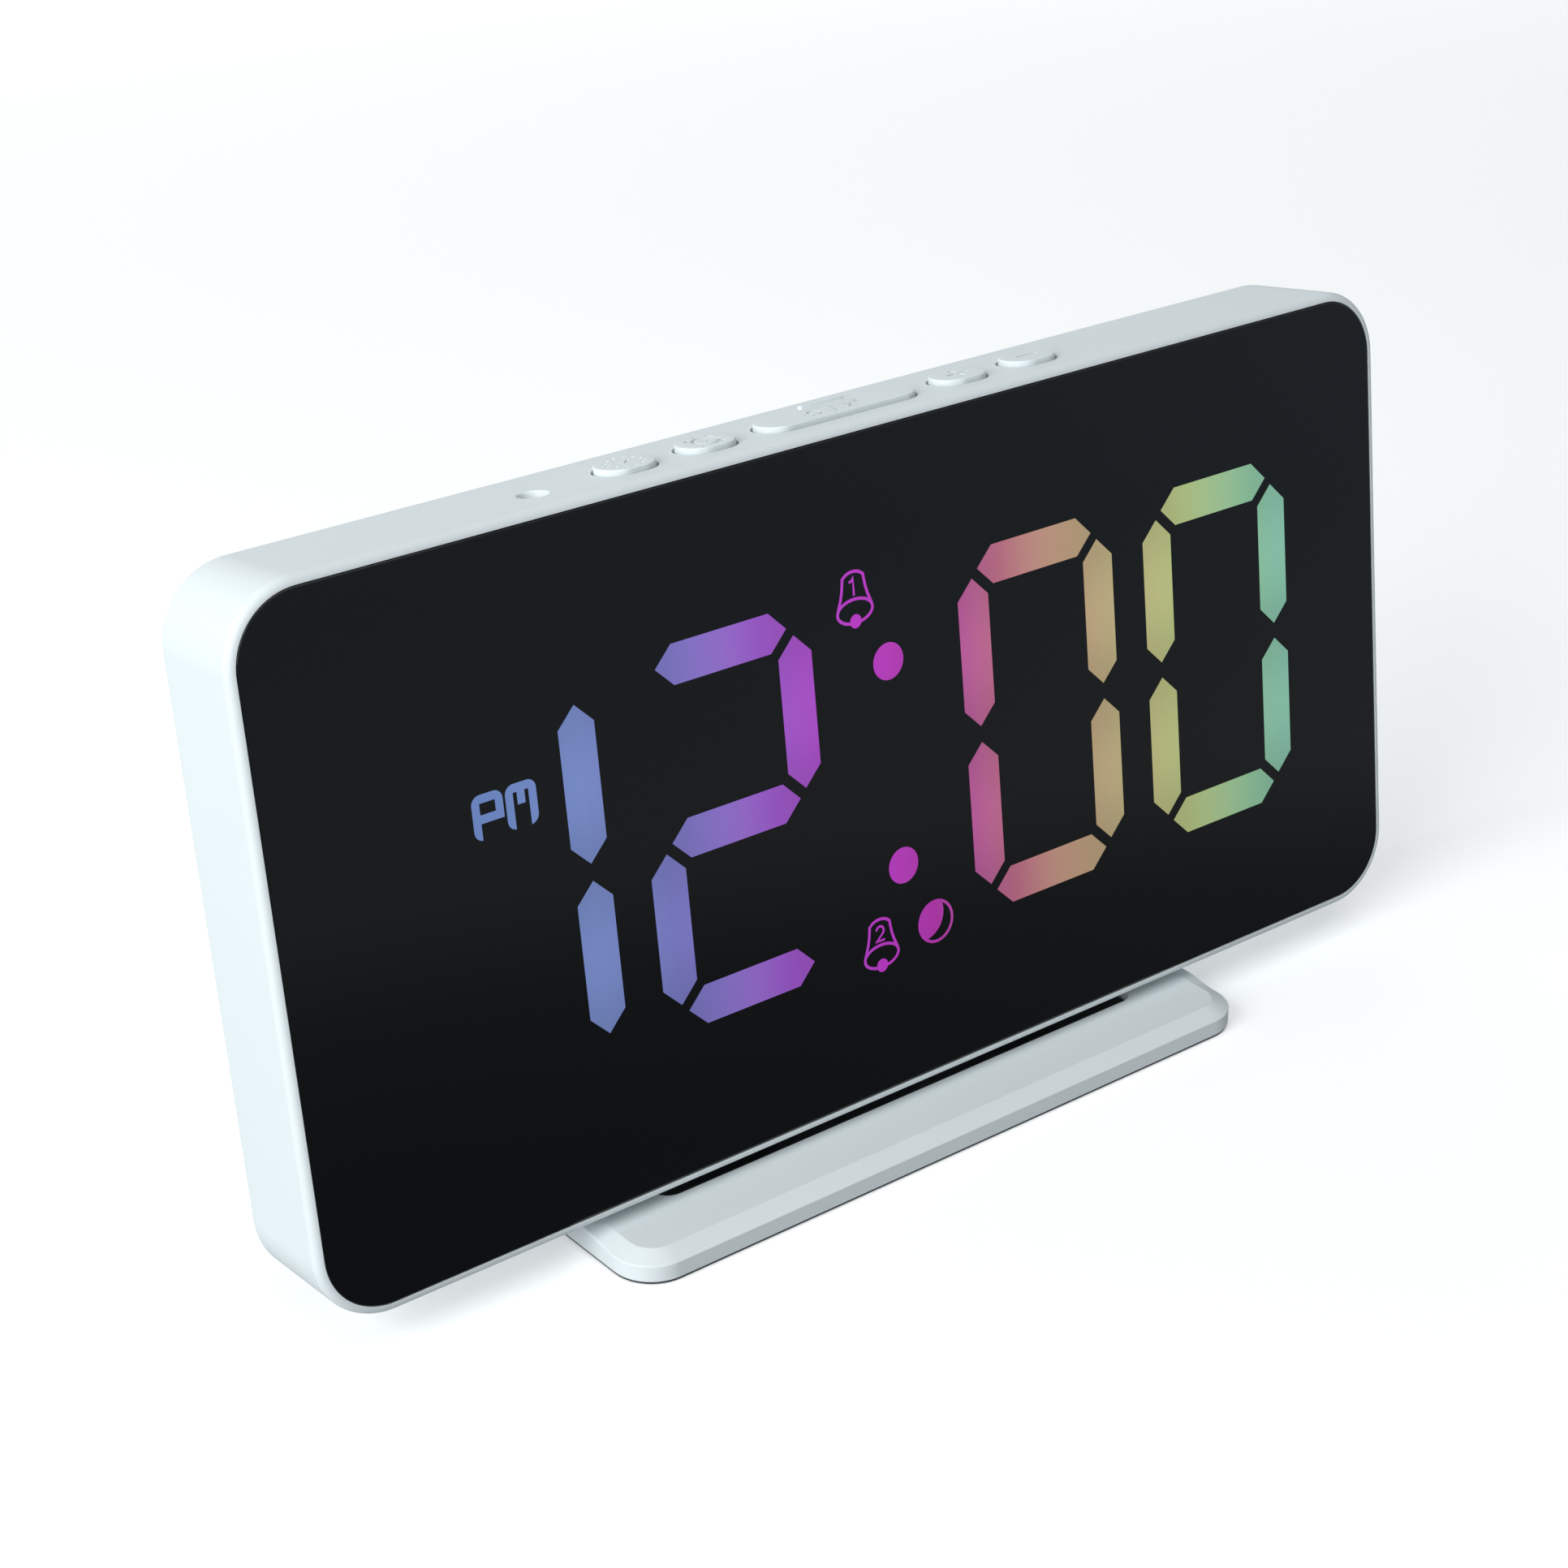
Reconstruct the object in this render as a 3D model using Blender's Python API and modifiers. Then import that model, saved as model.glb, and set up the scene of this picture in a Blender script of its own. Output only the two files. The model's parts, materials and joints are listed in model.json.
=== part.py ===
"""Slim desk alarm clock: a thin case with a dark window, hinged on a low weighted foot.

Run it with blender --background --python part.py, or from the Text Editor.

World frame: metres, +Z up. The display faces -Y and +X is the viewer's right. The origin is on
the ground, under the middle of the clock's bounding box. Sizes below are in millimetres.

Two frames hold the pieces. The foot's pieces are placed in world millimetres. The case's pieces
are placed in the case frame, whose origin is the centre of the window's front face, with +Y
going back into the case and +Z up along its height. The whole case leans back on its hinge.
"""

import math

import bmesh
import bpy
from mathutils import Euler, Vector

MM = 0.001
CLEARANCE = 0.15
MERGE = 0.00001

# Window and case
WINDOW_W = 187.2
WINDOW_H = 92.0
WINDOW_R = 8.8
WINDOW_T = 2.0
LIP = 1.4
CASE_W = WINDOW_W + 2 * LIP
CASE_H = WINDOW_H + 2 * LIP
CASE_R = WINDOW_R + LIP
CASE_D = 17.15
CASE_DRAFT = 0.53
LIP_ROUND = 1.2
REAR_ROUND = 1.5
WALL = 2.0
POCKET_D = WINDOW_T + 0.2
FRONT_WALL_BACK = 3.4
APERTURE_W = 158.0
APERTURE_H = 62.0
APERTURE_R = 3.0
CAVITY_W = CASE_W - 2 * WALL
CAVITY_H = CASE_H - 2 * WALL
CAVITY_R = CASE_R - WALL

# Rear cover and its screws
COVER_FRONT = 14.9
COVER_T = 2.0
COVER_BACK = COVER_FRONT + COVER_T
BOSS_X = 88.2
BOSS_Z = 40.6
BOSS_R = 3.2
BOSS_BACK = COVER_FRONT - 0.3
PILOT_R = 1.05
PILOT_DEPTH = 8.0
SCREW_HOLE_R = 1.2
SCREW_HEAD_R = 2.1
SCREW_SHANK_R = 0.9
SCREW_L = 7.0
SCREW_RIM = 0.2
SCREW_TAPER = 0.6
SCREW_POINT = 0.5
SINK_DEPTH = 1.5

# Display stack, front to back
MASK_FRONT = 3.7
MASK_T = 3.0
FILM_FRONT = 6.9
FILM_T = 0.3
DISPLAY_BOARD_FRONT = 8.4
BOARD_T = 1.2
LED_H = 0.8
DISPLAY_W = 168.8
DISPLAY_LOW = -33.2
DISPLAY_HIGH = 36.4

# Digits: centre of each digit's left and right columns, and the segment shape
DIGIT_COLUMNS = ((-72.46, -49.55), (-38.15, -15.24), (15.24, 38.15), (49.55, 72.46))
SEGMENT_PITCH = 23.2
SEGMENT_HALF_T = 2.7
UPRIGHT_HALF_L = 10.45
LEVEL_HALF_L = 10.4
COLON_Z = 14.5
COLON_R = 2.57
LED_SIZE = (2.0, 2 * LED_H, 1.2)

# Openings for the two alarm bells, the moon and the half day: x, z, width, height
SYMBOLS = (
    (-4.9, 24.2, 6.6, 8.2),
    (-4.9, -24.65, 6.6, 8.2),
    (4.9, -24.25, 6.6, 6.6),
    (-60.9, 11.75, 9.8, 6.2),
)

# Top buttons: name, distance from the middle, length of the cap
BUTTONS = (
    ("clock_set", -33.6, 8.2),
    ("alarm_set", -21.1, 8.2),
    ("snooze_dimmer", 0.0, 25.4),
    ("plus", 21.1, 8.2),
    ("minus", 33.6, 8.2),
)
BUTTON_Y = 7.2
CAP_W = 6.4
CAP_GAP = 0.35
CAP_RISE = 0.75
CAP_TOP = CASE_H / 2 - CASE_DRAFT * BUTTON_Y / CASE_D + CAP_RISE
CAP_FOOT = 45.0
FLANGE_T = 1.0
FLANGE_LIP = 1.0
STEM_R = 1.2
STEM_FOOT = 41.6
SWITCH_W = 6.0
SWITCH_FOOT = 38.6
SWITCH_TOP = 42.0
SWITCH_WELL_R = 1.5
SWITCH_WELL_FLOOR = 40.8
RIB_X = -0.35
RIB_Y = BUTTON_Y + 2.55
RIB_L = 7.2
RIB_T = 0.8
RIB_RISE = 0.45
BUTTON_BOARD_W = 94.0
BUTTON_BOARD_D = 10.0
BUTTON_BOARD_X = -7.0
BUTTON_BOARD_Y = 9.2
BUTTON_BOARD_TOP = 38.4
SENSOR_X = -47.8
SENSOR_Y = 6.6
SENSOR_HOLE_R = 1.97
LENS_R = 1.8
LENS_TOP = 46.4
LENS_FLANGE_R = 2.6
LENS_FLANGE_TOP = 45.1
LENS_FOOT = 44.3
SENSOR_R = 1.5
SENSOR_TOP = 43.9
SENSOR_RIM_R = 1.9
SENSOR_RIM_TOP = 39.6
SENSOR_FOOT = 38.7

# Pieces reached from the back
BATTERY_X = -38.0
BATTERY_Z = 2.0
CELL_R = 10.0
CELL_T = 3.2
CELL_EDGE = 0.4
CELL_RIM = 1.2
HOLDER_FRONT = 10.0
HOLDER_BACK = 14.1
HOLDER_WALL = 1.3
HOLDER_DEPTH = 3.5
DOOR_R = 12.0
DOOR_HOLE_R = 12.3
DOOR_FRONT = 14.4
DOOR_BACK = COVER_BACK - 0.1
DOOR_TAB_R = 13.2
DOOR_TAB_H = 3.6
DOOR_TAB_T = 0.3
DOOR_NOTCH_H = 5.0
COIN_SLOT = (11.0, 1.6, 1.6)
PORT_Z = -38.4
JACK_X = 66.0
JACK_HOLE_R = 4.0
JACK_NOSE_R = 3.7
JACK_BORE_R = 1.9
JACK_PIN_R = 0.65
JACK_BODY = (9.0, 9.4, 8.0)
JACK_BODY_Y = 9.8
JACK_NOSE_BACK = 16.7
JACK_NOSE_L = 3.0
JACK_BORE_FLOOR = 8.7
JACK_PIN_BACK = 16.0
SWITCH_X = 45.0
SWITCH_BODY = (9.0, 4.4, 4.6)
SWITCH_BODY_Y = 12.2
KNOB_W = 2.0
KNOB_H = 1.8
KNOB_D = 2.1
KNOB_Y = 15.75
KNOB_TRAVEL = 2.0
BUZZER_X = -62.0
BUZZER_R = 5.0
BUZZER_FRONT = 7.4
BUZZER_BACK = 14.2
BUZZER_EDGE = 0.4
BUZZER_PORT_R = 1.0
BUZZER_PORT_DEPTH = 0.8
GRILLE_HOLE_R = 0.75
GRILLE_PITCH = 2.6
GRILLE_RING = 6

# Main board and its parts: size of each, and its place on the board
CONTROL_BOARD = (64.0, BOARD_T, 38.0)
CONTROL_BOARD_PLACE = (42.0, 11.2, -8.0)
CONTROL_PARTS = (
    ((12.0, 2.6, 12.0), (0.0, 0.4, 2.0)),
    ((9.0, 3.6, 3.4), (20.0, 0.4, 8.0)),
    ((14.0, 4.0, 4.6), (-18.0, 0.4, -12.0)),
    ((4.0, 2.4, 6.0), (-16.0, 0.4, 8.0)),
)

# Hinge between the case and the foot, in the case frame
LEAN = math.radians(7.633)
HINGE_Y = 8.5
HINGE_Z = -41.0
LUG_X = 26.0
LUG_W = 10.0
LUG_R = 3.5
EAR_GAP = 0.9
EAR_T = 2.4
EAR_D = 7.0
EAR_H = 9.4
EAR_TOP_R = 2.6
EAR_DROP = 1.0
PIN_R = 1.25
LUG_BORE_R = 1.32
EAR_BORE_R = 1.4
BORE_L = 90.0
PIN_REACH = LUG_W / 2 + EAR_GAP + EAR_T
PIN_GAP = 0.2
PIN_HEAD_R = 2.2
PIN_HEAD_T = 1.2
PIN_TAIL = 2.0
RING_BORE_R = PIN_R + 0.1
WASHER_R = 2.9
WASHER_T = 0.5
NUT_R = 2.4
NUT_T = 1.5
LUG_SLOT_Y = 9.35
LUG_SLOT_D = 10.1

# Foot, in world millimetres
FOOT_W = 109.5
FOOT_D = 44.0
FOOT_R = 6.17
FOOT_RIM_Z = 0.45
FOOT_WALL_H = 2.41
FOOT_CHAMFER_W = 2.54
FOOT_CHAMFER_H = 1.15
FOOT_REAR_DROP = 0.35
DECK_Z = FOOT_RIM_Z + FOOT_WALL_H + FOOT_CHAMFER_H
FADE_START_Y = -15.8
FADE_END_Y = -9.4
BASE_INSET = 0.9
BASE_BOTTOM_Z = 0.25
BASE_T = 1.0
BASE_RECESS_Z = 1.35
SKIRT_INSET = 0.15
SKIRT_BOTTOM_Z = 0.12
SKIRT_T = 0.28
WELL_W = 86.0
WELL_D = 15.6
WELL_R = 2.6
WELL_Y = -3.03
SADDLE_Y = 1.75
SADDLE_D = 10.5
SADDLE_DEPTH = 1.0
BALLAST_W = 92.0
BALLAST_T = 1.2
BALLAST_GAP = 0.4
FRONT_POCKET = (-15.7, 6.8)
REAR_POCKET = (14.2, 10.0)
POCKET_CEILING_Z = 2.81
PAD_R = 4.0
PAD_T = 0.5
PAD_RECESS_R = 4.2
PAD_PLACES = ((-40.0, -15.0), (40.0, -15.0), (-40.0, 15.0), (40.0, 15.0))
BASE_SCREW_PLACES = ((-50.4, -17.6), (50.4, -17.6), (-50.4, 17.6), (50.4, 17.6))
NECK_FLANGE_FOOT_Z = 1.45
NECK_FLANGE_TOP_Z = 2.7
NECK_GAP = 0.35
NECK_POST_FOOT_Z = 2.0
UNDER_SCREW_HEAD_R = 1.8
UNDER_SCREW_Z = BASE_BOTTOM_Z + 0.1
BASE_SCREW_SHANK_R = 0.85
BASE_SCREW_L = 2.7
NECK_SCREW_L = 5.2

# The window's centre stands this far behind the foot's front edge and above its deck
WINDOW_BEHIND_FOOT_EDGE = 15.97
WINDOW_ABOVE_DECK = 48.83
WINDOW_CENTRE = Vector((0.0, WINDOW_BEHIND_FOOT_EDGE - FOOT_D / 2, DECK_Z + WINDOW_ABOVE_DECK))
CASE_TURN = Euler((-LEAN, 0.0, 0.0))
HINGE_WORLD = WINDOW_CENTRE + CASE_TURN.to_matrix() @ Vector((0.0, HINGE_Y, HINGE_Z))

UPSIDE_DOWN = Euler((math.pi, 0.0, 0.0))
ALONG = {"X": Euler((0.0, math.pi / 2, 0.0)), "Y": Euler((-math.pi / 2, 0.0, 0.0)), "Z": Euler()}

COLOURS = {
    "white_shell": ((0.78, 0.82, 0.83), 0.45, 0.0),
    "window": ((0.012, 0.014, 0.016), 0.08, 0.0),
    "mask": ((0.02, 0.02, 0.02), 0.7, 0.0),
    "diffuser": ((0.85, 0.86, 0.85), 0.5, 0.0),
    "circuit_board": ((0.02, 0.16, 0.08), 0.5, 0.0),
    "black_plastic": ((0.02, 0.02, 0.022), 0.5, 0.0),
    "dark_base": ((0.06, 0.065, 0.07), 0.6, 0.0),
    "steel": ((0.6, 0.6, 0.62), 0.3, 1.0),
    "brass": ((0.72, 0.58, 0.3), 0.3, 1.0),
    "rubber": ((0.03, 0.03, 0.03), 0.9, 0.0),
}


class Frame:
    """A parent empty, and the point of its pieces' own coordinates that the empty stands on."""

    def __init__(self, name, world, turn, datum):
        self.datum = Vector(datum)
        self.empty = bpy.data.objects.new(name, None)
        self.empty.location = Vector(world) * MM
        self.empty.rotation_euler = turn
        self.empty.empty_display_size = 0.01

    def hold(self, obj, place, turn):
        """Parent obj to the empty with its origin at place, in this frame's millimetres."""
        obj.parent = self.empty
        obj.location = (Vector(place) - self.datum) * MM
        obj.rotation_euler = turn


class Model:
    """The clock's collections, frames and materials, with the calls that add pieces to them."""

    def __init__(self):
        self.pieces = self.new_collection("alarm_clock")
        self.cutters = self.new_collection("cutters")
        self.foot = Frame("foot_frame", (0, 0, 0), Euler(), (0, 0, 0))
        self.case = Frame("tilt_axis", HINGE_WORLD, CASE_TURN, (0, HINGE_Y, HINGE_Z))
        for frame in (self.foot, self.case):
            self.pieces.objects.link(frame.empty)
        self.finishes = {name: new_material(name, *look) for name, look in COLOURS.items()}

    @staticmethod
    def new_collection(name):
        """Add an empty collection to the scene."""
        collection = bpy.data.collections.new(name)
        bpy.context.scene.collection.children.link(collection)
        return collection

    def piece(self, name, shape, frame, place, finish, turn=None):
        """Turn a bmesh in millimetres into a named piece of the clock."""
        obj = bpy.data.objects.new(name, mesh_of(shape, name))
        obj.data.materials.append(self.finishes[finish])
        obj.data.set_sharp_from_angle(angle=math.radians(35))
        frame.hold(obj, place, turn or Euler())
        self.pieces.objects.link(obj)
        obj["frame"] = frame.empty.name
        return obj

    def turned(self, name, profile, frame, place, finish, turn=None, steps=24):
        """Spin a profile of (radius, height) points, given top to bottom, round its own Z."""
        shape = bmesh.new()
        points = [shape.verts.new((radius, 0, height)) for radius, height in profile]
        for above, below in zip(points, points[1:]):
            shape.edges.new((above, below))
        obj = self.piece(name, shape, frame, place, finish, turn)
        spin = obj.modifiers.new("turn", "SCREW")
        spin.axis = "Z"
        spin.steps = steps
        spin.render_steps = steps
        spin.use_merge_vertices = True
        spin.merge_threshold = MERGE
        return obj

    def helper(self, target, shape, place, operation, turn=None):
        """Join or cut target with a hidden helper, placed in target's frame."""
        name = f"{target.name}_{operation.lower()}_{len(target.modifiers)}"
        obj = bpy.data.objects.new(name, mesh_of(shape, name))
        frame = self.case if target["frame"] == self.case.empty.name else self.foot
        frame.hold(obj, place, turn or Euler())
        obj.hide_render = True
        obj.display_type = "WIRE"
        self.cutters.objects.link(obj)
        modifier = target.modifiers.new(operation.lower(), "BOOLEAN")
        modifier.operation = operation
        modifier.solver = "EXACT"
        modifier.object = obj

    def cut(self, target, shape, place, turn=None):
        """Take shape away from target."""
        self.helper(target, shape, place, "DIFFERENCE", turn)

    def join(self, target, shape, place, turn=None):
        """Add shape to target."""
        self.helper(target, shape, place, "UNION", turn)


def clear_scene():
    """Remove whatever the scene held before."""
    for obj in list(bpy.data.objects):
        bpy.data.objects.remove(obj, do_unlink=True)


def new_material(name, colour, roughness, metallic):
    """A Principled material with one colour."""
    material = bpy.data.materials.new(name)
    material.use_nodes = True
    shader = material.node_tree.nodes["Principled BSDF"]
    shader.inputs["Base Color"].default_value = (*colour, 1.0)
    shader.inputs["Roughness"].default_value = roughness
    shader.inputs["Metallic"].default_value = metallic
    material.diffuse_color = (*colour, 1.0)
    return material


def mesh_of(shape, name):
    """Scale a bmesh from millimetres to metres, store it as a mesh and free it."""
    bmesh.ops.scale(shape, vec=(MM, MM, MM), verts=shape.verts)
    mesh = bpy.data.meshes.new(name)
    shape.to_mesh(mesh)
    shape.free()
    return mesh


def round_edges(shape, chosen, radius, steps):
    """Round the chosen edges of a bmesh to a radius."""
    bmesh.ops.bevel(shape, geom=chosen, offset=radius, segments=steps, affect="EDGES", profile=0.5)


def edges_along(shape, axis):
    """The edges that run along one axis."""
    index = "XYZ".index(axis)
    others = [i for i in range(3) if i != index]
    return [
        edge
        for edge in shape.edges
        if all(abs(edge.verts[0].co[i] - edge.verts[1].co[i]) < 1e-6 for i in others)
    ]


def edges_at(shape, axis, level):
    """The edges that lie in the plane where the axis has this value."""
    index = "XYZ".index(axis)
    return [edge for edge in shape.edges if all(abs(v.co[index] - level) < 1e-4 for v in edge.verts)]


def slab(width, depth, height, radius=0.0, axis="Y", steps=6):
    """A box centred on the origin, with its four edges along one axis rounded."""
    shape = bmesh.new()
    bmesh.ops.create_cube(shape, size=1.0)
    bmesh.ops.scale(shape, vec=(width, depth, height), verts=shape.verts)
    if radius:
        round_edges(shape, edges_along(shape, axis), radius, steps)
    return shape


def pill(length, width, height, steps=5):
    """An upright slab along X with round ends."""
    return slab(length, width, height, radius=0.499 * width, axis="Z", steps=steps)


def drum(radius, length, sides=32, top_radius=None):
    """A cylinder or cone frustum along Z, centred on the origin."""
    shape = bmesh.new()
    bmesh.ops.create_cone(
        shape,
        cap_ends=True,
        segments=sides,
        radius1=radius,
        radius2=radius if top_radius is None else top_radius,
        depth=length,
    )
    return shape


def merge_shapes(shapes):
    """Collect several separate bmeshes into one, each moved to its place first."""
    whole = bmesh.new()
    for shape, place in shapes:
        bmesh.ops.translate(shape, vec=place, verts=shape.verts)
        mesh = bpy.data.meshes.new("part_of_helper")
        shape.to_mesh(mesh)
        shape.free()
        whole.from_mesh(mesh)
        bpy.data.meshes.remove(mesh)
    return whole


def corners(x, z):
    """The four places at plus and minus x and z."""
    return [(sx * x, sz * z) for sx in (-1, 1) for sz in (-1, 1)]


def segment(half_length, half_thickness, depth, upright):
    """One bar of a digit: a flat hexagon with pointed ends, extruded along Y."""
    shoulder = half_length - half_thickness
    outline = (
        (half_length, 0.0),
        (shoulder, half_thickness),
        (-shoulder, half_thickness),
        (-half_length, 0.0),
        (-shoulder, -half_thickness),
        (shoulder, -half_thickness),
    )
    shape = bmesh.new()
    points = [(v, u) if upright else (u, v) for u, v in outline]
    face = shape.faces.new([shape.verts.new((x, -depth / 2, z)) for x, z in points])
    grown = bmesh.ops.extrude_face_region(shape, geom=[face])["geom"]
    top = [v for v in grown if isinstance(v, bmesh.types.BMVert)]
    bmesh.ops.translate(shape, vec=(0, depth, 0), verts=top)
    bmesh.ops.recalc_face_normals(shape, faces=shape.faces)
    return shape


def digit_bars():
    """Place of every bar of the four digits: (x, z, upright)."""
    for digit, (left, right) in enumerate(DIGIT_COLUMNS):
        middle = (left + right) / 2
        for x in (left, right):
            for level in (-SEGMENT_PITCH / 2, SEGMENT_PITCH / 2):
                yield x, level, True
        if digit:
            for level in (-SEGMENT_PITCH, 0.0, SEGMENT_PITCH):
                yield middle, level, False


def build_case_shell(model):
    """The white front housing: a drafted tray with the window pocket and all its openings."""
    shape = slab(CASE_W, CASE_D, CASE_H, radius=CASE_R, axis="Y", steps=7)
    rear = [v for v in shape.verts if v.co.y > 0]
    shrink = (1 - 2 * CASE_DRAFT / CASE_W, 1.0, 1 - 2 * CASE_DRAFT / CASE_H)
    bmesh.ops.scale(shape, vec=shrink, verts=rear)
    round_edges(shape, edges_at(shape, "Y", -CASE_D / 2), LIP_ROUND, 2)
    round_edges(shape, edges_at(shape, "Y", CASE_D / 2), REAR_ROUND, 2)
    housing = model.piece("front_housing", shape, model.case, (0, CASE_D / 2, 0), "white_shell")

    pocket_w = WINDOW_W + 2 * CLEARANCE
    pocket_h = WINDOW_H + 2 * CLEARANCE
    pocket = slab(pocket_w, 2 * POCKET_D, pocket_h, WINDOW_R + CLEARANCE, "Y", 7)
    model.cut(housing, pocket, (0, 0, 0))
    opening = slab(APERTURE_W, CASE_D / 2, APERTURE_H, APERTURE_R, "Y", 3)
    model.cut(housing, opening, (0, POCKET_D, 0))
    cavity_d = CASE_D - FRONT_WALL_BACK + 2.0
    cavity = slab(CAVITY_W, cavity_d, CAVITY_H, CAVITY_R, "Y", 5)
    model.cut(housing, cavity, (0, FRONT_WALL_BACK + cavity_d / 2, 0))

    boss_front = FRONT_WALL_BACK - 0.6
    boss_d = BOSS_BACK - boss_front
    for x, z in corners(BOSS_X, BOSS_Z):
        model.join(housing, drum(BOSS_R, boss_d, 16), (x, boss_front + boss_d / 2, z), ALONG["Y"])
    for side in (-1, 1):
        for flank in (-1, 1):
            x = side * LUG_X + flank * (PIN_REACH - EAR_T / 2)
            ear = slab(EAR_T, EAR_D, EAR_H)
            upper = [edge for edge in edges_along(ear, "X") if edge.verts[0].co.z > 0]
            round_edges(ear, upper, EAR_TOP_R, 4)
            model.join(housing, ear, (x, HINGE_Y, HINGE_Z - EAR_DROP))

    for x, z in corners(BOSS_X, BOSS_Z):
        place = (x, COVER_FRONT - PILOT_DEPTH / 2, z)
        model.cut(housing, drum(PILOT_R, PILOT_DEPTH, 12), place, ALONG["Y"])
    model.cut(housing, drum(EAR_BORE_R, BORE_L, 24), (0, HINGE_Y, HINGE_Z), ALONG["X"])
    for side in (-1, 1):
        slot = slab(LUG_W + 1.0, LUG_SLOT_D, 2 * WALL, 1.0, "Z", 2)
        model.cut(housing, slot, (side * LUG_X, LUG_SLOT_Y, -CASE_H / 2 + WALL / 2))
    top_wall = CASE_H / 2 - WALL / 2
    for _, x, length in BUTTONS:
        hole = pill(length + 2 * CAP_GAP, CAP_W + 2 * CAP_GAP, 2.5 * WALL)
        model.cut(housing, hole, (x, BUTTON_Y, top_wall))
    model.cut(housing, drum(SENSOR_HOLE_R, 2.5 * WALL, 20), (SENSOR_X, SENSOR_Y, top_wall))


def build_window(model):
    """The dark glossy window that covers the whole front."""
    shape = slab(WINDOW_W, WINDOW_T, WINDOW_H, WINDOW_R, "Y", 7)
    model.piece("front_window", shape, model.case, (0, WINDOW_T / 2, 0), "window")


def build_display(model):
    """Segment mask, diffuser film and the board with its LEDs."""
    middle = (DISPLAY_LOW + DISPLAY_HIGH) / 2
    height = DISPLAY_HIGH - DISPLAY_LOW
    mask_y = MASK_FRONT + MASK_T / 2
    shape = slab(DISPLAY_W, MASK_T, height)
    mask = model.piece("segment_mask", shape, model.case, (0, mask_y, middle), "mask")
    depth = MASK_T + 2.0
    openings = []
    leds = []
    for x, z, upright in digit_bars():
        half_length = UPRIGHT_HALF_L if upright else LEVEL_HALF_L
        openings.append((segment(half_length, SEGMENT_HALF_T, depth, upright), (x, 0, z)))
        leds.append((slab(*LED_SIZE), (x, 0, z)))
    for z in (-COLON_Z, COLON_Z):
        dot = drum(COLON_R, depth, 16)
        bmesh.ops.rotate(dot, matrix=ALONG["Y"].to_matrix(), verts=dot.verts)
        openings.append((dot, (0, 0, z)))
        leds.append((slab(*LED_SIZE), (0, 0, z)))
    for x, z, width, tall in SYMBOLS:
        openings.append((slab(width, depth, tall), (x, 0, z)))
        leds.append((slab(*LED_SIZE), (x, 0, z)))
    model.cut(mask, merge_shapes(openings), (0, mask_y, 0))

    film = slab(DISPLAY_W - 1.0, FILM_T, height - 1.0)
    model.piece("diffuser_film", film, model.case, (0, FILM_FRONT + FILM_T / 2, middle), "diffuser")
    plate = slab(DISPLAY_W - 0.6, BOARD_T, height - 0.6)
    place = (0, DISPLAY_BOARD_FRONT + BOARD_T / 2, middle)
    board = model.piece("display_board", plate, model.case, place, "circuit_board")
    model.join(board, merge_shapes(leds), (0, DISPLAY_BOARD_FRONT, 0))


def build_buttons(model):
    """The five caps in the top, each over its own switch, and the board they stand on."""
    board = slab(BUTTON_BOARD_W, BUTTON_BOARD_D, BOARD_T)
    place = (BUTTON_BOARD_X, BUTTON_BOARD_Y, BUTTON_BOARD_TOP - BOARD_T / 2)
    model.piece("button_board", board, model.case, place, "circuit_board")
    for name, x, length in BUTTONS:
        build_cap(model, name, x, length)
        build_tact_switch(model, name, x)


def build_cap(model, name, x, length):
    """One cap with its flange and stem; the snooze cap also has a rib to find it by."""
    cap_h = CAP_TOP - CAP_FOOT
    shape = pill(length, CAP_W, cap_h)
    round_edges(shape, edges_at(shape, "Z", cap_h / 2), 0.2, 1)
    place = (x, BUTTON_Y, CAP_FOOT + cap_h / 2)
    cap = model.piece(f"{name}_button", shape, model.case, place, "white_shell")
    flange = pill(length + 2 * FLANGE_LIP, CAP_W + 0.6, FLANGE_T)
    model.join(cap, flange, (x, BUTTON_Y, CAP_FOOT - FLANGE_T / 2 + 0.05))
    stem_h = CAP_FOOT - STEM_FOOT
    model.join(cap, drum(STEM_R, stem_h, 16), (x, BUTTON_Y, STEM_FOOT + stem_h / 2 - 0.02))
    if name == "snooze_dimmer":
        model.join(cap, pill(RIB_L, RIB_T, 2 * RIB_RISE, 4), (RIB_X, RIB_Y, CAP_TOP))


def build_tact_switch(model, name, x):
    """The switch under one cap, with a well that the cap's stem reaches into."""
    switch_h = SWITCH_TOP - SWITCH_FOOT
    body = slab(SWITCH_W, SWITCH_W, switch_h, 0.6, "Z", 2)
    place = (x, BUTTON_Y, SWITCH_FOOT + switch_h / 2)
    switch = model.piece(f"{name}_switch", body, model.case, place, "black_plastic")
    well_h = SWITCH_TOP - SWITCH_WELL_FLOOR + 1.0
    well = drum(SWITCH_WELL_R, well_h, 20)
    model.cut(switch, well, (x, BUTTON_Y, SWITCH_WELL_FLOOR + well_h / 2))


def build_light_sensor(model):
    """The recessed sensor lens in the top, over the sensor on the button board."""
    place = (SENSOR_X, SENSOR_Y, 0)
    lens = (
        (0, LENS_TOP),
        (LENS_R, LENS_TOP),
        (LENS_R, LENS_FLANGE_TOP),
        (LENS_FLANGE_R, LENS_FLANGE_TOP),
        (LENS_FLANGE_R, LENS_FOOT),
        (0, LENS_FOOT),
    )
    model.turned("sensor_lens", lens, model.case, place, "diffuser")
    body = (
        (0, SENSOR_TOP),
        (0.75 * SENSOR_R, SENSOR_TOP - 0.4),
        (SENSOR_R, SENSOR_TOP - 1.3),
        (SENSOR_R, SENSOR_RIM_TOP),
        (SENSOR_RIM_R, SENSOR_RIM_TOP),
        (SENSOR_RIM_R, SENSOR_FOOT),
        (0, SENSOR_FOOT),
    )
    model.turned("light_sensor", body, model.case, place, "diffuser")


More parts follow.
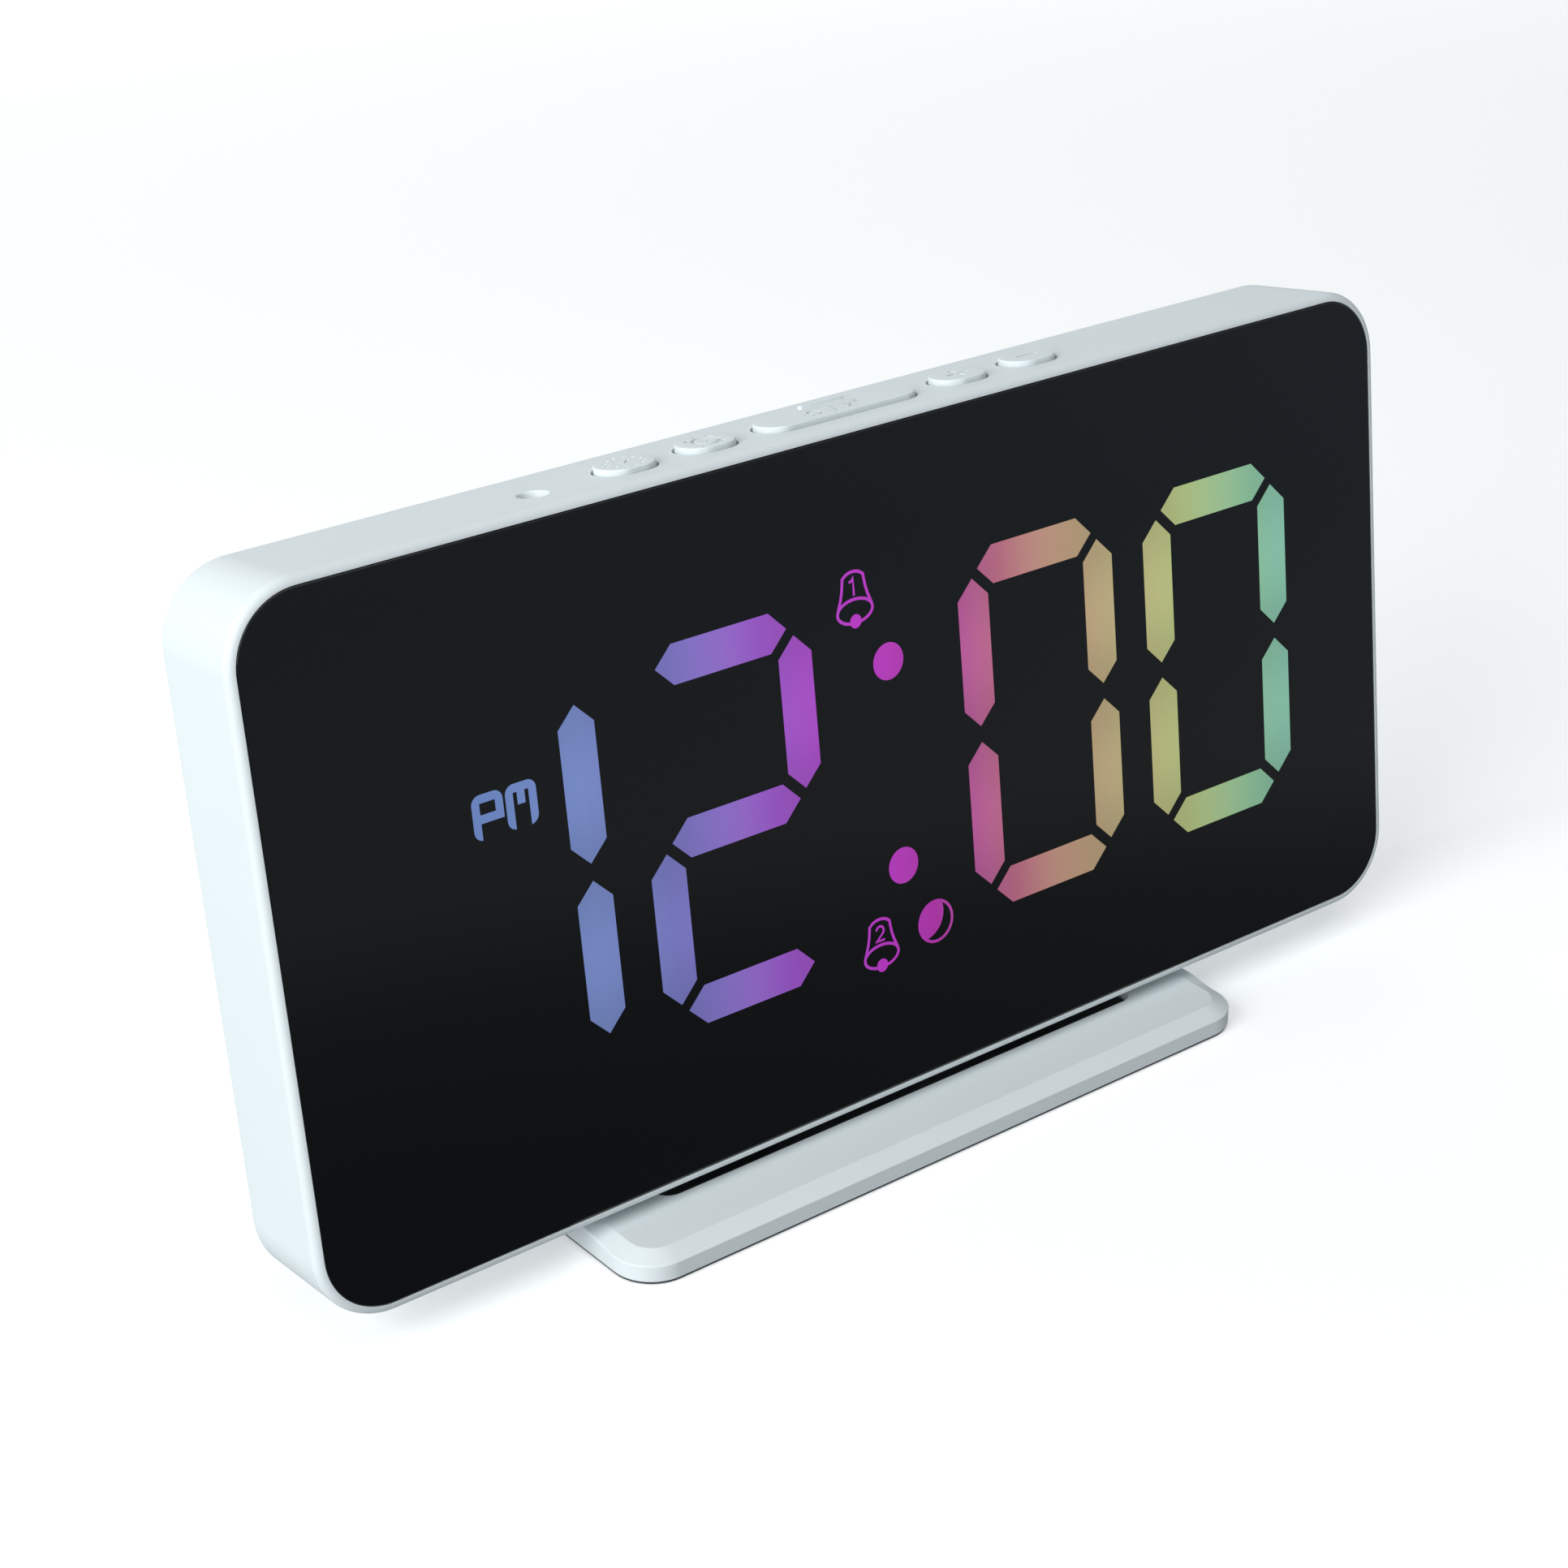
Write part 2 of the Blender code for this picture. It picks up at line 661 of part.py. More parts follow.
def build_rear_cover(model):
    """The back plate with its battery opening, jack hole, switch slot, grille and screws."""
    shape = slab(CAVITY_W - 0.4, COVER_T, CAVITY_H - 0.4, CAVITY_R - 0.2, "Y", 5)
    round_edges(shape, edges_at(shape, "Y", COVER_T / 2), 0.4, 1)
    middle = COVER_FRONT + COVER_T / 2
    through = 3 * COVER_T
    cover = model.piece("rear_cover", shape, model.case, (0, middle, 0), "white_shell")
    battery = (BATTERY_X, middle, BATTERY_Z)
    model.cut(cover, drum(DOOR_HOLE_R, through, 32), battery, ALONG["Y"])
    notch = slab(2 * DOOR_TAB_R + 0.8, through, DOOR_NOTCH_H)
    model.cut(cover, notch, battery, Euler((0, math.radians(45), 0)))
    model.cut(cover, drum(JACK_HOLE_R, through, 28), (JACK_X, middle, PORT_Z), ALONG["Y"])
    slot = slab(KNOB_W + KNOB_TRAVEL + 0.6, through, KNOB_H + 0.6)
    model.cut(cover, slot, (SWITCH_X + KNOB_TRAVEL / 2, middle, PORT_Z))
    holes = [(drum(GRILLE_HOLE_R, through, 12), (0, 0, 0))]
    for step in range(GRILLE_RING):
        angle = step * math.tau / GRILLE_RING
        place = (GRILLE_PITCH * math.cos(angle), GRILLE_PITCH * math.sin(angle), 0)
        holes.append((drum(GRILLE_HOLE_R, through, 12), place))
    model.cut(cover, merge_shapes(holes), (BUZZER_X, middle, PORT_Z), ALONG["Y"])

    profile = screw_profile(SCREW_HEAD_R, SCREW_SHANK_R, SCREW_L)
    for index, (x, z) in enumerate(corners(BOSS_X, BOSS_Z), start=1):
        model.cut(cover, drum(SCREW_HOLE_R, through, 16), (x, middle, z), ALONG["Y"])
        sink = drum(SCREW_HOLE_R, SINK_DEPTH, 16, SCREW_HEAD_R + 0.35)
        model.cut(cover, sink, (x, COVER_BACK - SINK_DEPTH / 2 + 0.05, z), ALONG["Y"])
        place = (x, COVER_BACK - 0.1, z)
        model.turned(f"rear_screw_{index}", profile, model.case, place, "steel", ALONG["Y"], 16)


def screw_profile(head_r, shank_r, length):
    """A countersunk screw along Z, with the flat of its head at the origin."""
    return (
        (0, 0),
        (head_r, 0),
        (head_r, -SCREW_RIM),
        (shank_r, -SCREW_RIM - SCREW_TAPER * (head_r - shank_r)),
        (shank_r, SCREW_POINT - length),
        (shank_r - 0.4, -length),
        (0, -length),
    )


def build_battery(model):
    """Coin cell, its holder and the round door that locks with a quarter turn."""
    seat = HOLDER_BACK - HOLDER_DEPTH
    inside = CELL_R + 0.3
    ring = (
        (0, seat),
        (inside, seat),
        (inside, HOLDER_BACK),
        (inside + HOLDER_WALL, HOLDER_BACK),
        (inside + HOLDER_WALL, HOLDER_FRONT),
        (0, HOLDER_FRONT),
    )
    place = (BATTERY_X, 0, BATTERY_Z)
    model.turned("battery_holder", ring, model.case, place, "black_plastic", ALONG["Y"], 32)
    low = seat + 0.1
    high = low + CELL_T
    cell = (
        (0, high),
        (CELL_R - CELL_RIM, high),
        (CELL_R, high - CELL_EDGE),
        (CELL_R, low),
        (0, low),
    )
    model.turned("coin_cell", cell, model.case, place, "steel", ALONG["Y"], 32)

    disc = drum(DOOR_R, DOOR_BACK - DOOR_FRONT, 32)
    middle = (BATTERY_X, (DOOR_FRONT + DOOR_BACK) / 2, BATTERY_Z)
    door = model.piece("battery_door", disc, model.case, middle, "white_shell", ALONG["Y"])
    tabs = slab(2 * DOOR_TAB_R, DOOR_TAB_T, DOOR_TAB_H)
    model.join(door, tabs, (BATTERY_X, DOOR_FRONT + DOOR_TAB_T / 2 + 0.01, BATTERY_Z))
    model.cut(door, slab(*COIN_SLOT), (BATTERY_X, DOOR_BACK, BATTERY_Z))


def build_ports(model):
    """Power jack, display mode switch with its knob, and the buzzer behind the grille."""
    place = (JACK_X, JACK_BODY_Y, PORT_Z)
    jack = model.piece("power_jack", slab(*JACK_BODY), model.case, place, "black_plastic")
    nose = (JACK_X, JACK_NOSE_BACK - JACK_NOSE_L / 2, PORT_Z)
    model.join(jack, drum(JACK_NOSE_R, JACK_NOSE_L, 28), nose, ALONG["Y"])
    bore_l = JACK_NOSE_BACK + 1.0 - JACK_BORE_FLOOR
    bore = (JACK_X, JACK_BORE_FLOOR + bore_l / 2, PORT_Z)
    model.cut(jack, drum(JACK_BORE_R, bore_l, 24), bore, ALONG["Y"])
    pin_l = JACK_PIN_BACK - JACK_BORE_FLOOR + 0.7
    pin = (JACK_X, JACK_PIN_BACK - pin_l / 2, PORT_Z)
    model.join(jack, drum(JACK_PIN_R, pin_l, 12), pin, ALONG["Y"])

    place = (SWITCH_X + KNOB_TRAVEL / 2, SWITCH_BODY_Y, PORT_Z)
    model.piece("mode_switch_body", slab(*SWITCH_BODY), model.case, place, "steel")
    knob = slab(KNOB_W, KNOB_D, KNOB_H)
    round_edges(knob, edges_at(knob, "Y", KNOB_D / 2), 0.25, 1)
    place = (SWITCH_X, KNOB_Y, PORT_Z)
    model.piece("mode_switch_knob", knob, model.case, place, "black_plastic")

    can = (
        (0, BUZZER_BACK - BUZZER_PORT_DEPTH),
        (BUZZER_PORT_R, BUZZER_BACK - BUZZER_PORT_DEPTH),
        (BUZZER_PORT_R, BUZZER_BACK),
        (BUZZER_R - BUZZER_EDGE, BUZZER_BACK),
        (BUZZER_R, BUZZER_BACK - BUZZER_EDGE),
        (BUZZER_R, BUZZER_FRONT),
        (0, BUZZER_FRONT),
    )
    place = (BUZZER_X, 0, PORT_Z)
    model.turned("buzzer", can, model.case, place, "black_plastic", ALONG["Y"], 28)


def build_control_board(model):
    """The clock's main board, with its processor, crystal and connector."""
    plate = slab(*CONTROL_BOARD)
    board = model.piece("control_board", plate, model.case, CONTROL_BOARD_PLACE, "circuit_board")
    parts = [(slab(*size), place) for size, place in CONTROL_PARTS]
    model.join(board, merge_shapes(parts), CONTROL_BOARD_PLACE)


def build_hinge(model):
    """The neck that stands on the foot, and the two pins, washers and nuts that it turns on."""
    height = NECK_FLANGE_TOP_Z - NECK_FLANGE_FOOT_Z
    flange = slab(WELL_W - 2 * NECK_GAP, WELL_D - 2 * NECK_GAP, height, WELL_R - NECK_GAP, "Z", 4)
    place = (0, WELL_Y, NECK_FLANGE_FOOT_Z + height / 2)
    neck = model.piece("tilt_neck", flange, model.foot, place, "black_plastic")
    post_h = HINGE_WORLD.z - NECK_POST_FOOT_Z
    for side in (-1, 1):
        x = side * LUG_X
        post = slab(LUG_W, 2 * LUG_R, post_h)
        model.join(neck, post, (x, HINGE_WORLD.y, NECK_POST_FOOT_Z + post_h / 2))
        model.join(neck, drum(LUG_R, LUG_W, 32), (x, HINGE_WORLD.y, HINGE_WORLD.z), ALONG["X"])
    model.cut(neck, drum(LUG_BORE_R, BORE_L, 32), HINGE_WORLD, ALONG["X"])

    screw = screw_profile(UNDER_SCREW_HEAD_R, SCREW_SHANK_R, NECK_SCREW_L)
    for side, name in ((-1, "left"), (1, "right")):
        x = side * LUG_X
        build_pivot(model, name, x, Euler((0, side * math.pi / 2, 0)))
        model.cut(neck, drum(PILOT_R, 6.0, 12), (x, HINGE_WORLD.y, 3.0))
        place = (x, HINGE_WORLD.y, UNDER_SCREW_Z)
        model.turned(f"{name}_neck_screw", screw, model.foot, place, "steel", UPSIDE_DOWN, 16)


def build_pivot(model, name, x, outward):
    """One lug's pin, with its friction washer and the nut that holds it."""
    centre = (x, HINGE_Y, HINGE_Z)
    under_head = PIN_REACH + PIN_GAP
    tail = -PIN_REACH - PIN_TAIL
    pin = (
        (0, under_head + PIN_HEAD_T),
        (PIN_HEAD_R, under_head + PIN_HEAD_T),
        (PIN_HEAD_R, under_head),
        (PIN_R, under_head),
        (PIN_R, tail),
        (0, tail),
    )
    model.turned(f"{name}_hinge_pin", pin, model.case, centre, "steel", outward, 32)
    seat = LUG_W / 2 + PIN_GAP
    washer = ring_profile(WASHER_R, seat + WASHER_T, seat)
    model.turned(f"{name}_friction_washer", washer, model.case, centre, "steel", outward)
    nut = ring_profile(NUT_R, -under_head, -under_head - NUT_T)
    model.turned(f"{name}_hinge_nut", nut, model.case, centre, "brass", outward, 24)


def ring_profile(radius, top, bottom):
    """The closed profile of a plain ring on a hinge pin, from its inner wall round to it again."""
    return (
        (RING_BORE_R, top),
        (radius, top),
        (radius, bottom),
        (RING_BORE_R, bottom),
        (RING_BORE_R, top),
    )


def foot_outline(inset):
    """The foot's plan outline at an inset, anticlockwise, with extra points along its sides."""
    radius = FOOT_R - inset
    half_w = FOOT_W / 2 - inset
    half_d = FOOT_D / 2 - inset
    points = []
    for quarter, (sx, sy) in enumerate(((1, -1), (1, 1), (-1, 1), (-1, -1))):
        start = (quarter - 1) * math.pi / 2
        for step in range(9):
            angle = start + step * math.pi / 16
            x = sx * (half_w - radius) + radius * math.cos(angle)
            y = sy * (half_d - radius) + radius * math.sin(angle)
            points.append((x, y))
        if sx == 1 and sy == -1:
            points += [(half_w, y) for y in fade_levels()]
        if sx == -1 and sy == 1:
            points += [(-half_w, y) for y in reversed(fade_levels())]
    return points


def fade_levels():
    """Places along the foot's side where the front chamfer fades away."""
    return [FADE_START_Y + (FADE_END_Y - FADE_START_Y) * (step + 1) / 5 for step in range(5)]


def chamfer_drop(y):
    """How far the foot's wall stops below the deck at this place from front to back."""
    share = (y - FADE_START_Y) / (FADE_END_Y - FADE_START_Y)
    share = min(1.0, max(0.0, share))
    return FOOT_CHAMFER_H + (FOOT_REAR_DROP - FOOT_CHAMFER_H) * share


def foot_blank():
    """The foot's outer form: a wall under a chamfer that fades out towards the back."""
    shape = bmesh.new()
    outer = foot_outline(0.0)
    deck = foot_outline(FOOT_CHAMFER_W)
    rings = (
        [shape.verts.new((x, y, FOOT_RIM_Z)) for x, y in outer],
        [shape.verts.new((x, y, DECK_Z - chamfer_drop(y))) for x, y in outer],
        [shape.verts.new((x, y, DECK_Z)) for x, y in deck],
    )
    shape.faces.new(list(reversed(rings[0])))
    shape.faces.new(rings[2])
    count = len(outer)
    for low, high in zip(rings, rings[1:]):
        for i in range(count):
            j = (i + 1) % count
            shape.faces.new((low[i], low[j], high[j], high[i]))
    bmesh.ops.triangulate(shape, faces=shape.faces)
    bmesh.ops.recalc_face_normals(shape, faces=shape.faces)
    return shape


def build_foot(model):
    """The foot: shell, base plate, two ballast bars, four pads and four screws."""
    shell = model.piece("foot_shell", foot_blank(), model.foot, (0, 0, 0), "white_shell")
    recess_w = FOOT_W - 2 * BASE_INSET
    recess_d = FOOT_D - 2 * BASE_INSET
    recess = slab(recess_w, recess_d, 4.0, FOOT_R - BASE_INSET, "Z", 6)
    model.cut(shell, recess, (0, 0, BASE_RECESS_Z - 2.0))
    for centre, depth in (FRONT_POCKET, REAR_POCKET):
        pocket = slab(BALLAST_W + 1.0, depth, 4.0)
        model.cut(shell, pocket, (0, centre, POCKET_CEILING_Z - 2.0))
    model.cut(shell, slab(WELL_W, WELL_D, 12.0, WELL_R, "Z", 4), (0, WELL_Y, 3.0))
    saddle = slab(FOOT_W + 20.0, SADDLE_D, 3 * SADDLE_DEPTH)
    lower = [edge for edge in edges_along(saddle, "X") if edge.verts[0].co.z < 0]
    round_edges(saddle, lower, 0.9, 3)
    model.cut(shell, saddle, (0, SADDLE_Y, DECK_Z + SADDLE_DEPTH / 2))

    plate = slab(recess_w - 0.4, recess_d - 0.4, BASE_T, FOOT_R - BASE_INSET - 0.2, "Z", 6)
    place = (0, 0, BASE_BOTTOM_Z + BASE_T / 2)
    base = model.piece("base_plate", plate, model.foot, place, "dark_base")
    skirt_w = FOOT_W - 2 * SKIRT_INSET
    skirt_d = FOOT_D - 2 * SKIRT_INSET
    skirt = slab(skirt_w, skirt_d, SKIRT_T, FOOT_R - SKIRT_INSET, "Z", 6)
    model.join(base, skirt, (0, 0, SKIRT_BOTTOM_Z + SKIRT_T / 2))
    for name, (centre, depth) in (("front", FRONT_POCKET), ("rear", REAR_POCKET)):
        bar = slab(BALLAST_W, depth - 2 * BALLAST_GAP, BALLAST_T)
        middle = POCKET_CEILING_Z - 0.1 - BALLAST_T / 2
        model.piece(f"{name}_ballast", bar, model.foot, (0, centre, middle), "steel")
    for index, (x, y) in enumerate(PAD_PLACES, start=1):
        model.cut(base, drum(PAD_RECESS_R, 1.0, 24), (x, y, BASE_BOTTOM_Z - 0.2))
        pad = drum(PAD_R, PAD_T, 24)
        model.piece(f"foot_pad_{index}", pad, model.foot, (x, y, PAD_T / 2), "rubber")
    for x, y in (*BASE_SCREW_PLACES, (-LUG_X, HINGE_WORLD.y), (LUG_X, HINGE_WORLD.y)):
        model.cut(base, drum(SCREW_HOLE_R, 4.0, 16), (x, y, 0.5))
        model.cut(base, drum(2.5, 1.1, 16, SCREW_HOLE_R), (x, y, BASE_BOTTOM_Z + 0.45))
    screw = screw_profile(UNDER_SCREW_HEAD_R, BASE_SCREW_SHANK_R, BASE_SCREW_L)
    for index, (x, y) in enumerate(BASE_SCREW_PLACES, start=1):
        model.cut(shell, drum(PILOT_R, 4.0, 12), (x, y, 1.4))
        place = (x, y, UNDER_SCREW_Z)
        model.turned(f"base_screw_{index}", screw, model.foot, place, "steel", UPSIDE_DOWN, 16)


def main():
    """Build the whole clock."""
    clear_scene()
    model = Model()
    build_case_shell(model)
    build_window(model)
    build_display(model)
    build_buttons(model)
    build_light_sensor(model)
    build_rear_cover(model)
    build_battery(model)
    build_ports(model)
    build_control_board(model)
    build_foot(model)
    build_hinge(model)


main()
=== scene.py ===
"""Looks of a slim desk alarm clock: a white moulded case with a dark window, on a low foot.

Every piece is built in millimetres in the frame of the part that carries it, the leaning case or
the level foot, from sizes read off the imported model. Its place is then baked into its mesh, in
metres. The pieces that nobody sees without taking the clock apart are smoothed copies of the
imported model's own meshes, under the same procedural finishes as the outer ones.
"""

import json
import logging
import math
from collections.abc import Iterable, Mapping, Sequence
from dataclasses import dataclass
from enum import Enum
from typing import Any, Protocol

import bmesh
import bpy
from mathutils import Matrix, Vector

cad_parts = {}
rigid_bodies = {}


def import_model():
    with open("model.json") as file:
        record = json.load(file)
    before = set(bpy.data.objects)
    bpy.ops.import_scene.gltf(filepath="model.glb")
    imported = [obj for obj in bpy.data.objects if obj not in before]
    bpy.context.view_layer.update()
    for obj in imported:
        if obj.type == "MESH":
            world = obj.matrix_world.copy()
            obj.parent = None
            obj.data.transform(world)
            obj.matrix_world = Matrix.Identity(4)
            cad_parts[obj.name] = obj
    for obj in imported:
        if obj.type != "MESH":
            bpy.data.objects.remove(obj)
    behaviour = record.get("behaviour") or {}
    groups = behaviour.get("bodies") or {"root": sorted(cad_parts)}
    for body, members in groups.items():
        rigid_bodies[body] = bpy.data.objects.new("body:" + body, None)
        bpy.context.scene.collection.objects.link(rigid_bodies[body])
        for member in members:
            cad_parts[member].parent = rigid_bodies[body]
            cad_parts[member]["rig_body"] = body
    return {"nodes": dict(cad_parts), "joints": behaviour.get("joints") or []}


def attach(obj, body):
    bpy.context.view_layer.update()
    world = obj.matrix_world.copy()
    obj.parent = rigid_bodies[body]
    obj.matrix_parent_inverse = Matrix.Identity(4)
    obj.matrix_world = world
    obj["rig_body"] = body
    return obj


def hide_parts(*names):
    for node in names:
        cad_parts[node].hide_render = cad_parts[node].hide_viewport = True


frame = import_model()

MM = 0.001
CREASE = math.radians(33)

Flat = tuple[float, float]
Three = tuple[float, float, float]
Colour = tuple[float, float, float]
Form = bmesh.types.BMesh
Piece = bpy.types.Object
Material = bpy.types.Material

log = logging.getLogger("alarm_clock")


class Slot(Enum):
    """The record's material slots, which name this clock's finishes."""

    WHITE = "white_shell"
    WINDOW = "window"
    MASK = "mask"
    DIFFUSER = "diffuser"
    BOARD = "circuit_board"
    BLACK = "black_plastic"
    BASE = "dark_base"
    STEEL = "steel"
    BRASS = "brass"
    RUBBER = "rubber"


class Way(Enum):
    """The way that a form's levels run: up, back through the case, or across from left to right."""

    UP = "up"
    BACK = "back"
    ACROSS = "across"

    def point(self, first: float, second: float, level: float) -> Vector:
        """Place an outline's point at a level."""
        if self is Way.BACK:
            return Vector((first, level, second))
        if self is Way.ACROSS:
            return Vector((level, first, second))
        return Vector((first, second, level))


# ---- frames


@dataclass(frozen=True)
class Box:
    """A box in a space's millimetres, from its low corner to its high one."""

    low: Vector
    high: Vector

    @property
    def size(self) -> Vector:
        """Its extent each way."""
        return self.high - self.low

    @property
    def centre(self) -> Vector:
        """Its middle."""
        return (self.low + self.high) / 2


class Space:
    """A frame in millimetres that pieces are built in."""

    def __init__(self, to_world: Matrix) -> None:
        """Keep the matrix from this space's millimetres to world metres."""
        self.to_world = to_world
        self.from_world = to_world.inverted()

    def box(self, node: str) -> Box:
        """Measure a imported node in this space.

        Args:
            node: the node's name.

        Returns:
            The smallest box along this space's axes that holds it.
        """
        points = [self.from_world @ vertex.co for vertex in frame["nodes"][node].data.vertices]
        low = Vector(min(point[i] for point in points) for i in range(3))
        high = Vector(max(point[i] for point in points) for i in range(3))
        return Box(low, high)


def case_space() -> Space:
    """Find the case's frame, which leans back with it.

    Returns:
        A space with its origin at the middle of the window's front face, +Y going back into the
        case and +Z up along its height.
    """
    press = next(joint for joint in frame["joints"] if joint["name"] == "plus_press")
    lean = math.atan2(-press["axis"][1], -press["axis"][2])
    turned = Matrix.Rotation(-lean, 4, "X") @ Matrix.Scale(MM, 4)
    window = Space(turned).box("front_window")
    middle = Vector((window.centre.x, window.low.y, window.centre.z))
    return Space(turned @ Matrix.Translation(middle))


# ---- forms


@dataclass(frozen=True)
class Panel:
    """A flat outline with round corners that can be drawn at any inset, all with as many points.

    Attributes:
        width: extent along the first axis.
        height: extent along the second axis.
        radius: corner radius.
        centre: where its middle is.
        steps: straight steps in each corner.
        stops: further points on its two upright sides, as distances along the second axis.
    """

    width: float
    height: float
    radius: float
    centre: Flat = (0.0, 0.0)
    steps: int = 12
    stops: tuple[float, ...] = ()

    def outline(self, inset: float = 0.0) -> list[Flat]:
        """Draw the outline.

        Args:
            inset: how far inside the panel's edge, or outside it when negative.

        Returns:
            The points in order, anticlockwise.
        """
        half_w = max(self.width / 2 - inset, 0.0)
        half_h = max(self.height / 2 - inset, 0.0)
        radius = min(max(self.radius - inset, 0.0), half_w, half_h)
        points: list[Flat] = []
        for quarter, (sx, sy) in enumerate(((1, -1), (1, 1), (-1, 1), (-1, -1))):
            for step in range(self.steps + 1):
                angle = (quarter - 1 + step / self.steps) * math.pi / 2
                x = sx * (half_w - radius) + radius * math.cos(angle)
                y = sy * (half_h - radius) + radius * math.sin(angle)
                points.append((x, y))
            if quarter == 0:
                points += [(half_w, stop) for stop in self.stops]
            if quarter == 2:
                points += [(-half_w, stop) for stop in reversed(self.stops)]
        return [(x + self.centre[0], y + self.centre[1]) for x, y in points]


def disc(radius: float, centre: Flat = (0.0, 0.0), steps: int = 10) -> Panel:
    """A round panel."""
    return Panel(2 * radius, 2 * radius, radius, centre, steps)


@dataclass(frozen=True)
class Corner:
    """A corner of a cross-section: how far in, at what level, and how round."""

    inset: float
    level: float
    radius: float = 0.0


def corners(*places: tuple[float, ...]) -> list[Corner]:
    """Corners of a cross-section, each given as (inset, level) or (inset, level, radius)."""
    return [Corner(*place) for place in places]


def eased(drawn_from: Sequence[Corner], closed: bool = False, steps: int = 5) -> list[Flat]:
    """Draw a cross-section with its corners rounded.

    Args:
        drawn_from: its corners in order. The ends of an open one aren't rounded.
        closed: whether the last corner joins the first.
        steps: straight steps in each rounded corner.

    Returns:
        Points of (inset, level).
    """
    drawn: list[Flat] = []
    for index, corner in enumerate(drawn_from):
        at_end = not closed and index in (0, len(drawn_from) - 1)
        if corner.radius <= 0 or at_end:
            drawn.append((corner.inset, corner.level))
            continue
        before, after = drawn_from[index - 1], drawn_from[(index + 1) % len(drawn_from)]
        here = Vector((corner.inset, corner.level))
        back = (Vector((before.inset, before.level)) - here).normalized()
        ahead = (Vector((after.inset, after.level)) - here).normalized()
        half = back.angle(ahead) / 2
        middle = here + (back + ahead).normalized() * corner.radius / math.sin(half)
        start = here + back * corner.radius / math.tan(half) - middle
        end = here + ahead * corner.radius / math.tan(half) - middle
        turn = math.atan2(start.x * end.y - start.y * end.x, start.dot(end))
        for step in range(steps + 1):
            arm = Matrix.Rotation(turn * step / steps, 2) @ start
            drawn.append((middle.x + arm.x, middle.y + arm.y))
    return drawn


def lofted(rings: Sequence[Sequence[Vector]], closed: bool = False) -> Form:
    """Skin rings of equally many points.

    Args:
        rings: the rings in order.
        closed: whether the last ring joins the first, instead of both being capped.

    Returns:
        A closed form whose faces point outwards.
    """
    form = bmesh.new()
    rows = [[form.verts.new(point) for point in ring] for ring in rings]
    pairs = list(zip(rows, rows[1:]))
    if closed:
        pairs.append((rows[-1], rows[0]))
    else:
        form.faces.new(reversed(rows[0]))
        form.faces.new(rows[-1])
    for low, high in pairs:
        for i, corner in enumerate(low):
            j = (i + 1) % len(low)
            form.faces.new((corner, low[j], high[j], high[i]))
    bmesh.ops.remove_doubles(form, verts=form.verts, dist=1e-5)
    bmesh.ops.recalc_face_normals(form, faces=form.faces)
    return form


def swept(panel: Panel, section: Iterable[Flat], way: Way, closed: bool = False) -> Form:
    """Carry a cross-section, a list of (inset, level), round a panel's outline."""
    rings = [[way.point(*point, level) for point in panel.outline(inset)] for inset, level in section]
    return lofted(rings, closed)


def block(panel: Panel, low: float, high: float, way: Way, soft: float = 0.0) -> Form:
    """A panel given a thickness, with both its rims rounded.

    Args:
        panel: the outline.
        low: its first level.
        high: its last level.
        way: the way that the levels run.
        soft: radius of its rims.

    Returns:
        The closed form.
    """
    depth = 1.5 * soft + 0.01
    section = corners((depth, low), (0.0, low, soft), (0.0, high, soft), (depth, high))
    return swept(panel, eased(section if soft else section[1:3], steps=3), way)


def flared(panel: Panel, floor: float, mouth: float, way: Way, soft: float) -> Form:
    """A cutter whose mouth opens in a round, so that the hole's rim comes out soft.

    Args:
        panel: the hole's outline.
        floor: the level that it cuts down to.
        mouth: the level of the surface that it opens in.
        way: the way that the levels run.
        soft: radius of the hole's rim.

    Returns:
        The cutter.
    """
    outward = math.copysign(1.0, mouth - floor)
    lip = mouth + outward * 0.01
    section = corners((0.0, floor), (0.0, lip, soft), (-2.0 * soft, lip), (-2.0 * soft, lip + outward))
    return swept(panel, eased(section), way)


def prism(outline: Iterable[Flat], low: float, high: float, way: Way) -> Form:
    """A flat outline given a thickness."""
    points = list(outline)
    return lofted([[way.point(*point, level) for point in points] for level in (low, high)])


def stroke(
    points: Sequence[Flat], width: float, low: float, high: float, way: Way, looped: bool = False
) -> Form:
    """A line of even width, given a thickness.

    Args:
        points: the line's middle.
        width: how wide it is.
        low: its first level.
        high: its last level.
        way: the way that the levels run.
        looped: whether the last point joins the first.

    Returns:
        The closed form.
    """
    line = [Vector(point) for point in points]
    rings = []
    for i, here in enumerate(line):
        before = line[i - 1] if i or looped else here
        after = line[(i + 1) % len(line)] if i + 1 < len(line) or looped else here
        ahead = ((here - before).normalized() + (after - here).normalized()).normalized()
        side = Vector((-ahead.y, ahead.x))
        along = (after - here if after != here else here - before).normalized()
        reach = width / 2 / max(side.dot(Vector((-along.y, along.x))), 0.5)
        left, right = here + side * reach, here - side * reach
        edges = ((left, low), (left, high), (right, high), (right, low))
        rings.append([way.point(*edge, level) for edge, level in edges])
    return lofted(rings, looped)


def arc(centre: Flat, radii: Flat, start: float, end: float, steps: int = 16) -> list[Flat]:
    """Points along part of an ellipse with these half axes, between two angles in degrees."""
    angles = [math.radians(start + (end - start) * step / steps) for step in range(steps + 1)]
    return [(centre[0] + radii[0] * math.cos(a), centre[1] + radii[1] * math.sin(a)) for a in angles]


def moved(form: Form, change: Matrix) -> Form:
    """The same form after a move, a turn or a slant."""
    bmesh.ops.transform(form, matrix=change, verts=form.verts)
    return form


def gathered(forms: Iterable[Form]) -> Form:
    """Several separate forms as one."""
    whole = bmesh.new()
    for form in forms:
        mesh = bpy.data.meshes.new("gathered")
        form.to_mesh(mesh)
        form.free()
        whole.from_mesh(mesh)
        bpy.data.meshes.remove(mesh)
    return whole


